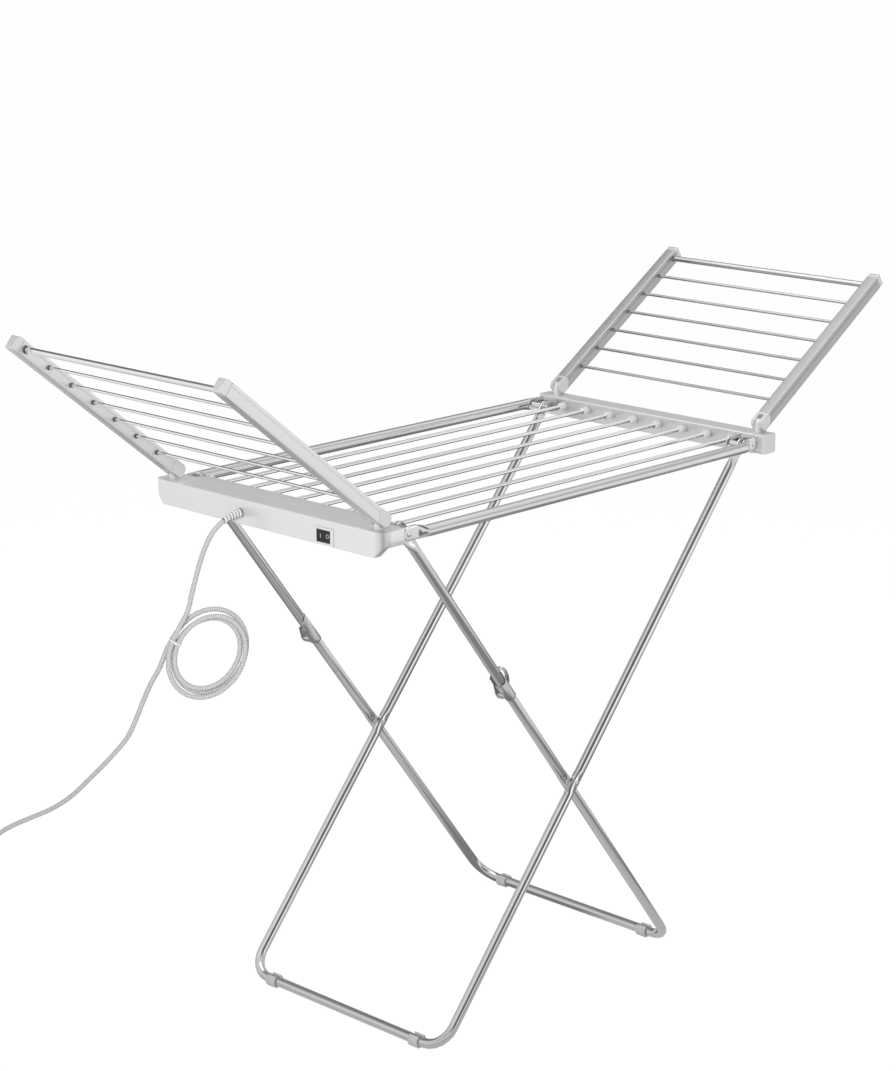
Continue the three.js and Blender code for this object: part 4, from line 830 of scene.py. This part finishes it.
def apply_modifier(piece, kind, **settings):
    select_only(piece)
    modifier = piece.modifiers.new(kind.lower(), kind)
    for name, value in settings.items():
        setattr(modifier, name, value)
    bpy.ops.object.modifier_apply(modifier=modifier.name)


def round_edges(piece, width, segments):
    apply_modifier(
        piece, "BEVEL", width=width, segments=segments,
        limit_method="ANGLE", angle_limit=bevel_angle,
    )


def start_box(place, size, turn):
    deselect()
    bpy.ops.mesh.primitive_cube_add(size=1, location=place, rotation=turn)
    piece = bpy.context.object
    piece.scale = size
    apply_place()
    return piece


def duplicate(piece):
    """A copy of a piece with its own mesh."""
    select_only(piece)
    bpy.ops.object.duplicate(linked=False)
    return bpy.context.object


def edit_all(piece):
    """In edit mode, with the whole piece selected."""
    bpy.ops.object.mode_set(mode="EDIT")
    bpy.ops.mesh.select_all(action="SELECT")


def select_faces(piece, heading):
    """In edit mode, with only the faces that look along a heading selected."""
    bpy.ops.object.mode_set(mode="EDIT")
    bpy.ops.mesh.select_mode(type="FACE")
    bpy.ops.mesh.select_all(action="DESELECT")
    bpy.ops.object.mode_set(mode="OBJECT")
    for polygon in piece.data.polygons:
        polygon.select = polygon.normal.dot(heading) > same_heading
    bpy.ops.object.mode_set(mode="EDIT")


def sink_face(piece, heading, rim, depth):
    """Insets the faces that look along a heading, and sinks them inside their rim."""
    select_faces(piece, heading)
    bpy.ops.mesh.inset(thickness=rim)
    bpy.ops.mesh.extrude_region_move(TRANSFORM_OT_translate={"value": -heading * depth})
    bpy.ops.object.mode_set(mode="OBJECT")


def strand_crossings(route):
    """Where the lead's strands pass through the tie's plane."""
    points = []
    for first, last in zip(route, route[1:]):
        before, after = ((point - tie_middle).dot(tie_heading) for point in (first, last))
        if before * after <= 0 and (first - tie_middle).length < tie_reach:
            points.append(first.lerp(last, before / (before - after)))
    return points


def cable_tie():
    """A band drawn round the coil's strands and the lead that passes them, with its square head."""
    strands = strand_crossings(lead_route())
    if len(strands) != tie_strands:
        raise RuntimeError(f"the tie needs {tie_strands} strands, not {len(strands)}")
    turn = tie_heading.to_track_quat("Z", "Y").to_euler()
    cores = []
    for strand in strands:
        deselect()
        bpy.ops.mesh.primitive_cylinder_add(
            vertices=tie_sides, radius=tie_inside, depth=tie_width, location=strand, rotation=turn
        )
        cores.append(bpy.context.object)
    select_only(*cores)
    bpy.ops.object.join()
    apply_place()
    band = bpy.context.object
    edit_all(band)
    bpy.ops.mesh.convex_hull()
    bpy.ops.object.mode_set(mode="OBJECT")
    for heading in (tie_heading, -tie_heading):
        select_faces(band, heading)
        bpy.ops.mesh.delete(type="FACE")
        bpy.ops.object.mode_set(mode="OBJECT")
    apply_modifier(band, "SOLIDIFY", thickness=tie_thickness, offset=1, use_even_offset=True)
    round_edges(band, tie_edge, 1)
    front = sorted(strands, key=lambda strand: (strand - camera_place).length)[:2]
    front_middle = (front[0] + front[1]) / 2
    outward = front_middle - sum(strands, Vector()) / len(strands)
    along = (front[0] - front[1]).normalized()
    outward = (outward - along * outward.dot(along)).normalized()
    outward = (outward - tie_heading * outward.dot(tie_heading)).normalized()
    place = front_middle + outward * (tie_inside + tie_head[2] / 2)
    axes = Matrix((outward.cross(tie_heading), tie_heading, outward))
    head = start_box(place, tie_head, axes.transposed().to_euler())
    sink_face(head, outward, tie_head_rim, tie_head_sink)
    round_edges(head, tie_head_edge, 2)
    settle(head, "cable_tie_head", "white_tie", "tray")
    settle(band, "cable_tie_band", "white_tie", "tray")


def rocker_spot(share):
    """A point on the rocker's face, at a share of its half width, and its normal."""
    low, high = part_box("rocker_switch")
    middle = (low + high) / 2
    y = middle.y + (high.y - low.y) / 2 * share
    hit, place, normal, _ = nodes["rocker_switch"].ray_cast(Vector((-1, y, middle.z)), along_x)
    if not hit:
        raise RuntimeError(f"the rocker has no face at {y}, {middle.z}")
    return place, normal


def switch_marks():
    """The line and the ring moulded on the rocker's two halves."""
    place, normal = rocker_spot(mark_line_place)
    turn = (0, 0, math.atan2(-normal.y, -normal.x))
    line = start_box(place, (mark_height * 2, mark_stroke, mark_size), turn)
    select_faces(line, normal)
    bpy.ops.mesh.inset(thickness=mark_line_rim)
    bpy.ops.object.mode_set(mode="OBJECT")
    apply_modifier(line, "BEVEL", width=mark_line_edge, segments=1)
    settle(line, "rocker_mark_line", "grey_mark", "rocker")
    place, normal = rocker_spot(mark_ring_place)
    deselect()
    bpy.ops.mesh.primitive_circle_add(
        vertices=mark_ring_sides,
        radius=mark_size / 2 - mark_stroke,
        fill_type="NOTHING",
        location=place,
        rotation=(0, math.pi / 2, math.atan2(normal.y, normal.x)),
    )
    ring = bpy.context.object
    edit_all(ring)
    bpy.ops.mesh.extrude_edges_move(TRANSFORM_OT_translate={"value": (0, 0, 0)})
    share = mark_size / (mark_size - 2 * mark_stroke)
    bpy.ops.transform.resize(value=(share, share, share), center_override=place)
    bpy.ops.object.mode_set(mode="OBJECT")
    apply_place()
    apply_modifier(ring, "SOLIDIFY", thickness=mark_height * 2, offset=0)
    settle(ring, "rocker_mark_ring", "grey_mark", "rocker")


def cover_screws():
    """Recessed screw heads that hold the cover under the switch housing."""
    low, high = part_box("housing_cover")
    deselect()
    bpy.ops.mesh.primitive_cylinder_add(
        vertices=screw_sides,
        radius=screw_radius,
        depth=screw_depth,
        location=((low.x + high.x) / 2, low.y * screw_span, low.z),
    )
    screw = bpy.context.object
    apply_place()
    sink_face(screw, -upward, screw_rim, screw_sink)
    round_edges(screw, screw_edge, 2)
    for number, share in enumerate(screw_places, 2):
        copy = duplicate(screw)
        copy.location.y = (high.y - low.y) * screw_span * share
        settle(copy, f"cover_screw_{number}", "zinc_plated_sheet", "tray")
    settle(screw, "cover_screw_1", "zinc_plated_sheet", "tray")


def collar_pattern(radius):
    """A short collar round a rung, along Y from the origin."""
    deselect()
    bpy.ops.mesh.primitive_circle_add(
        vertices=collar_sides,
        radius=radius + collar_play,
        fill_type="NOTHING",
        rotation=(math.pi / 2, 0, 0),
    )
    collar = bpy.context.object
    apply_place()
    edit_all(collar)
    bpy.ops.mesh.extrude_edges_move(TRANSFORM_OT_translate={"value": (0, collar_length, 0)})
    bpy.ops.object.mode_set(mode="OBJECT")
    apply_modifier(collar, "SOLIDIFY", thickness=collar_wall, offset=-1)
    least = radius + collar_wall * collar_least_wall
    if max(corner[0] for corner in collar.bound_box) < least:
        raise RuntimeError("the collar has grown inwards, onto its rung")
    round_edges(collar, collar_edge, 1)
    return collar


def rung_collars(side, finish):
    """Short collars where the rungs meet the arms, all of a wing in one piece."""
    collars = []
    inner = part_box(f"arm_{side}_far")[0].y
    for rungs in (thin_rungs, thick_rungs):
        low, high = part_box(f"rung_{side}_{rungs[0]}")
        pattern = collar_pattern((high.z - low.z) / 2)
        for index in rungs:
            middle = middle_of(f"rung_{side}_{index}")
            for y in (inner - collar_length - collar_gap, -inner + collar_gap):
                copy = duplicate(pattern)
                copy.location = (middle.x, y, middle.z)
                collars.append(copy)
        bpy.data.objects.remove(pattern)
    select_only(*collars)
    bpy.ops.object.join()
    settle(bpy.context.object, f"rung_collars_{side}", finish, f"wing_{side}")


class AIRER_OT_details(bpy.types.Operator):
    """Adds the cable tie, the rocker's marks, the cover's screws and the rungs' collars"""

    bl_idname = "airer.details"
    bl_label = "Small Pieces"

    def execute(self, context):
        cable_tie()
        switch_marks()
        cover_screws()
        # the left wing's collars are near black, painted shade where the rungs meet the arm
        rung_collars("left", "rung_ferrule")
        rung_collars("right", "thin_rung_tube")
        return {"FINISHED"}


# Camera

camera_place = Vector((-3.21173, -2.99497, 1.92920))
camera_yaw = math.radians(42.8242)
camera_pitch = math.radians(-14.7206)
camera_roll = math.radians(0.2603)
camera_focal_pixels = 2642.36
camera_side_shift = -38.86
camera_clip = (0.05, 60)
sensor_height = 36
image_height = 1071


class AIRER_OT_camera(bpy.types.Operator):
    """Sets the camera at the photograph's angle"""

    bl_idname = "airer.camera"
    bl_label = "Camera"

    def execute(self, context):
        lens = bpy.data.cameras.new("view")
        lens.sensor_fit = "VERTICAL"
        lens.sensor_height = sensor_height
        lens.lens = camera_focal_pixels * sensor_height / image_height
        lens.shift_x = camera_side_shift / image_height
        lens.clip_start, lens.clip_end = camera_clip
        camera = bpy.data.objects.new("view", lens)
        camera.location = camera_place + along_x * tray_middle
        turn = Matrix.Rotation(camera_yaw - math.pi / 2, 4, "Z")
        turn = turn @ Matrix.Rotation(math.pi / 2 + camera_pitch, 4, "X")
        turn = turn @ Matrix.Rotation(camera_roll, 4, "Z")
        camera.rotation_euler = turn.to_euler()
        context.scene.collection.objects.link(camera)
        context.scene.camera = camera
        return {"FINISHED"}


# Stage. Bright metal sees rings of light and shade on the floor, by distance from the middle,
# and bands of them on the sky, by height. A shade is a place, its strength and its soft edge.

floor_size = 60
floor_colour = (0.8, 0.8, 0.8, 1)
floor_roughness = 0.9
floor_glow = 1.12
floor_glow_share = 0.84
floor_ring_reach = 12.0
floor_rings = (
    (0.0, 0.7),
    (0.036, 0.58),
    (0.054, 0.45),
    (0.07, 0.2),
    (0.1, 0.24),
    (0.14, 0.58),
    (0.2, 0.86),
    (0.4, 0.95),
)
floor_sector_shade = ((0.906, 0.423, 0), 0.36, (0.74, 0.9))
floor_patch_shade = ((-3.0, -2.3, 0), 0.1, (2.3, 1.5))
sky_bands = (
    (0.0, 1.0),
    (0.1, 1.0),
    (0.26, 0.78),
    (0.45, 0.54),
    (0.6, 0.76),
    (0.7, 0.9),
    (1.0, 0.95),
)
sky_shades = (
    ((-0.342, -0.733, 0.588), 0.25, (0.86, 0.97)),
    ((-0.129, 0.732, 0.669), 0.5, (0.9, 0.98)),
    ((0.73, 0.68, -0.06), 0.32, (0.93, 0.985)),
    ((0.307, -0.947, 0.087), 1.7, (0.965, 0.99)),
    ((-0.568, 0.654, 0.5), 1.6, (0.97, 0.992)),
    ((-0.565, -0.1, 0.819), 1.3, (0.95, 0.985)),
    ((0.4, 0.68, 0.62), 0.35, (0.88, 0.96)),
)
diffuse_sky = 0.34
white = (1, 1, 1)
lamp_target = Vector((0, 0, 0.6))
lamps = (
    # name, place, width and height, watts, and whether bright metal shows it
    ("key", (-3.4, -2.2, 2.2), (1.4, 1.4), 90, False),
    ("fill", (1.8, -3.2, 2.0), (1.4, 2.0), 20, False),
    ("top", (0.2, 0.8, 3.6), (2.4, 2.4), 22, True),
)


def area_light(name, place, size, power, shown):
    lamp = bpy.data.lights.new(name, "AREA")
    lamp.shape = "RECTANGLE"
    lamp.size, lamp.size_y = size
    lamp.energy = power
    light = bpy.data.objects.new(name, lamp)
    light.visible_glossy = shown
    light.location = place
    light.rotation_euler = (lamp_target - Vector(place)).to_track_quat("-Z", "Y").to_euler()
    bpy.context.scene.collection.objects.link(light)


def seen_directly(tree):
    """1 for rays that show the background, and 1 for camera rays alone."""
    path = add_node(tree, "ShaderNodeLightPath").outputs
    shown = path["Is Camera Ray"]
    for name in ("Is Glossy Ray", "Is Transmission Ray"):
        shown = maths(tree, "MAXIMUM", shown, path[name])
    return shown, path["Is Camera Ray"]


def strength_ramp(tree, value, stops):
    """Strengths between places from 0 to 1, as one greyscale ramp."""
    node = add_node(tree, "ShaderNodeValToRGB", {"Fac": value})
    node.color_ramp.interpolation = "EASE"
    points = node.color_ramp.elements
    while len(points) < len(stops):
        points.new(0.5)
    for point, (place, strength) in zip(points, stops):
        point.position = place
        point.color = (strength, strength, strength, 1)
    return node.outputs["Color"]


def cast_shade(tree, light, value, strength, edge):
    """Multiplies a light by a strength where a value is past its soft edge."""
    return maths(tree, "MULTIPLY", light, ramp(tree, value, 1.0, strength, edge))


def floor_material(name):
    """A white floor that keeps the airer's soft shadow, and shows its rings to bright metal."""
    tree, shader = start_material(name, 0.0, Roughness=floor_roughness)
    shader.inputs["Base Color"].default_value = floor_colour
    shown, camera_ray = seen_directly(tree)
    place = object_place(tree)
    distance = vector_maths(tree, "LENGTH", place)
    reach = ramp(tree, distance, 0.0, 1.0, (0.0, floor_ring_reach))
    light = strength_ramp(tree, reach, floor_rings)
    toward, *shade = floor_sector_shade
    heading = vector_maths(tree, "NORMALIZE", place)
    light = cast_shade(tree, light, vector_maths(tree, "DOT_PRODUCT", heading, toward), *shade)
    centre, *shade = floor_patch_shade
    light = cast_shade(tree, light, vector_maths(tree, "DISTANCE", place, centre), *shade)
    tone = mix_colours(tree, camera_ray, light, white)
    glow = add_node(tree, "ShaderNodeEmission", {"Strength": floor_glow, "Color": tone})
    share = maths(tree, "MULTIPLY", shown, floor_glow_share)
    layers = {0: share, 1: shader.outputs["BSDF"], 2: glow.outputs["Emission"]}
    mixed = add_node(tree, "ShaderNodeMixShader", layers)
    feed(tree, tree.nodes["Material Output"].inputs["Surface"], mixed.outputs["Shader"])


def studio_world(scene):
    """White behind the airer, and a sky of soft light and shade for bright metal to show."""
    world = bpy.data.worlds.new("studio")
    scene.world = world
    world.use_nodes = True
    tree = world.node_tree
    place = add_node(tree, "ShaderNodeTexCoord").outputs["Generated"]
    light = strength_ramp(tree, split_vector(tree, place)["Z"], sky_bands)
    for heading, *shade in sky_shades:
        light = cast_shade(tree, light, vector_maths(tree, "DOT_PRODUCT", place, heading), *shade)
    shown, camera_ray = seen_directly(tree)
    for_surfaces = mix_values(tree, shown, diffuse_sky, light)
    back = tree.nodes["Background"]
    feed(tree, back.inputs["Strength"], mix_values(tree, camera_ray, for_surfaces, 1.0))
    back.inputs["Color"].default_value = (*white, 1)


class AIRER_OT_stage(bpy.types.Operator):
    """Lays the pale floor and sets the soft light"""

    bl_idname = "airer.stage"
    bl_label = "Stage"

    def execute(self, context):
        deselect()
        bpy.ops.mesh.primitive_plane_add(size=floor_size, location=(0, 0, 0))
        floor = context.object
        floor.name = "floor"
        floor_material("pale_floor")
        floor.data.materials.append(bpy.data.materials["pale_floor"])
        studio_world(context.scene)
        for lamp in lamps:
            area_light(*lamp)
        context.scene.view_settings.view_transform = "Standard"
        return {"FINISHED"}


# Panel and registration


class AIRER_PT_panel(bpy.types.Panel):
    """Lists the steps that dress the airer"""

    bl_idname = "AIRER_PT_panel"
    bl_label = "Heated Clothes Airer"
    bl_space_type = "VIEW_3D"
    bl_region_type = "UI"
    bl_category = "Airer"

    def draw(self, context):
        for owner in (context.scene.airer_lead, context.scene.airer_colours):
            for name in owner.bl_rna.properties.keys():
                if name not in ("rna_type", "name"):
                    self.layout.prop(owner, name)
        for operator in operators:
            self.layout.operator(operator.bl_idname)


operators = (
    AIRER_OT_camera,
    AIRER_OT_lead,
    AIRER_OT_metalwork,
    AIRER_OT_mouldings,
    AIRER_OT_details,
    AIRER_OT_stage,
)
classes = (LeadSizes, AirerColours, *operators, AIRER_PT_panel)


def register():
    for each in classes:
        bpy.utils.register_class(each)
    bpy.types.Scene.airer_lead = PointerProperty(type=LeadSizes)
    bpy.types.Scene.airer_colours = PointerProperty(type=AirerColours)


def unregister():
    del bpy.types.Scene.airer_lead
    del bpy.types.Scene.airer_colours
    for each in reversed(classes):
        bpy.utils.unregister_class(each)


def main():
    register()
    bpy.ops.airer.camera()
    bpy.ops.airer.lead()
    bpy.ops.airer.metalwork()
    bpy.ops.airer.mouldings()
    bpy.ops.airer.details()
    bpy.ops.airer.stage()


if __name__ == "__main__":
    main()
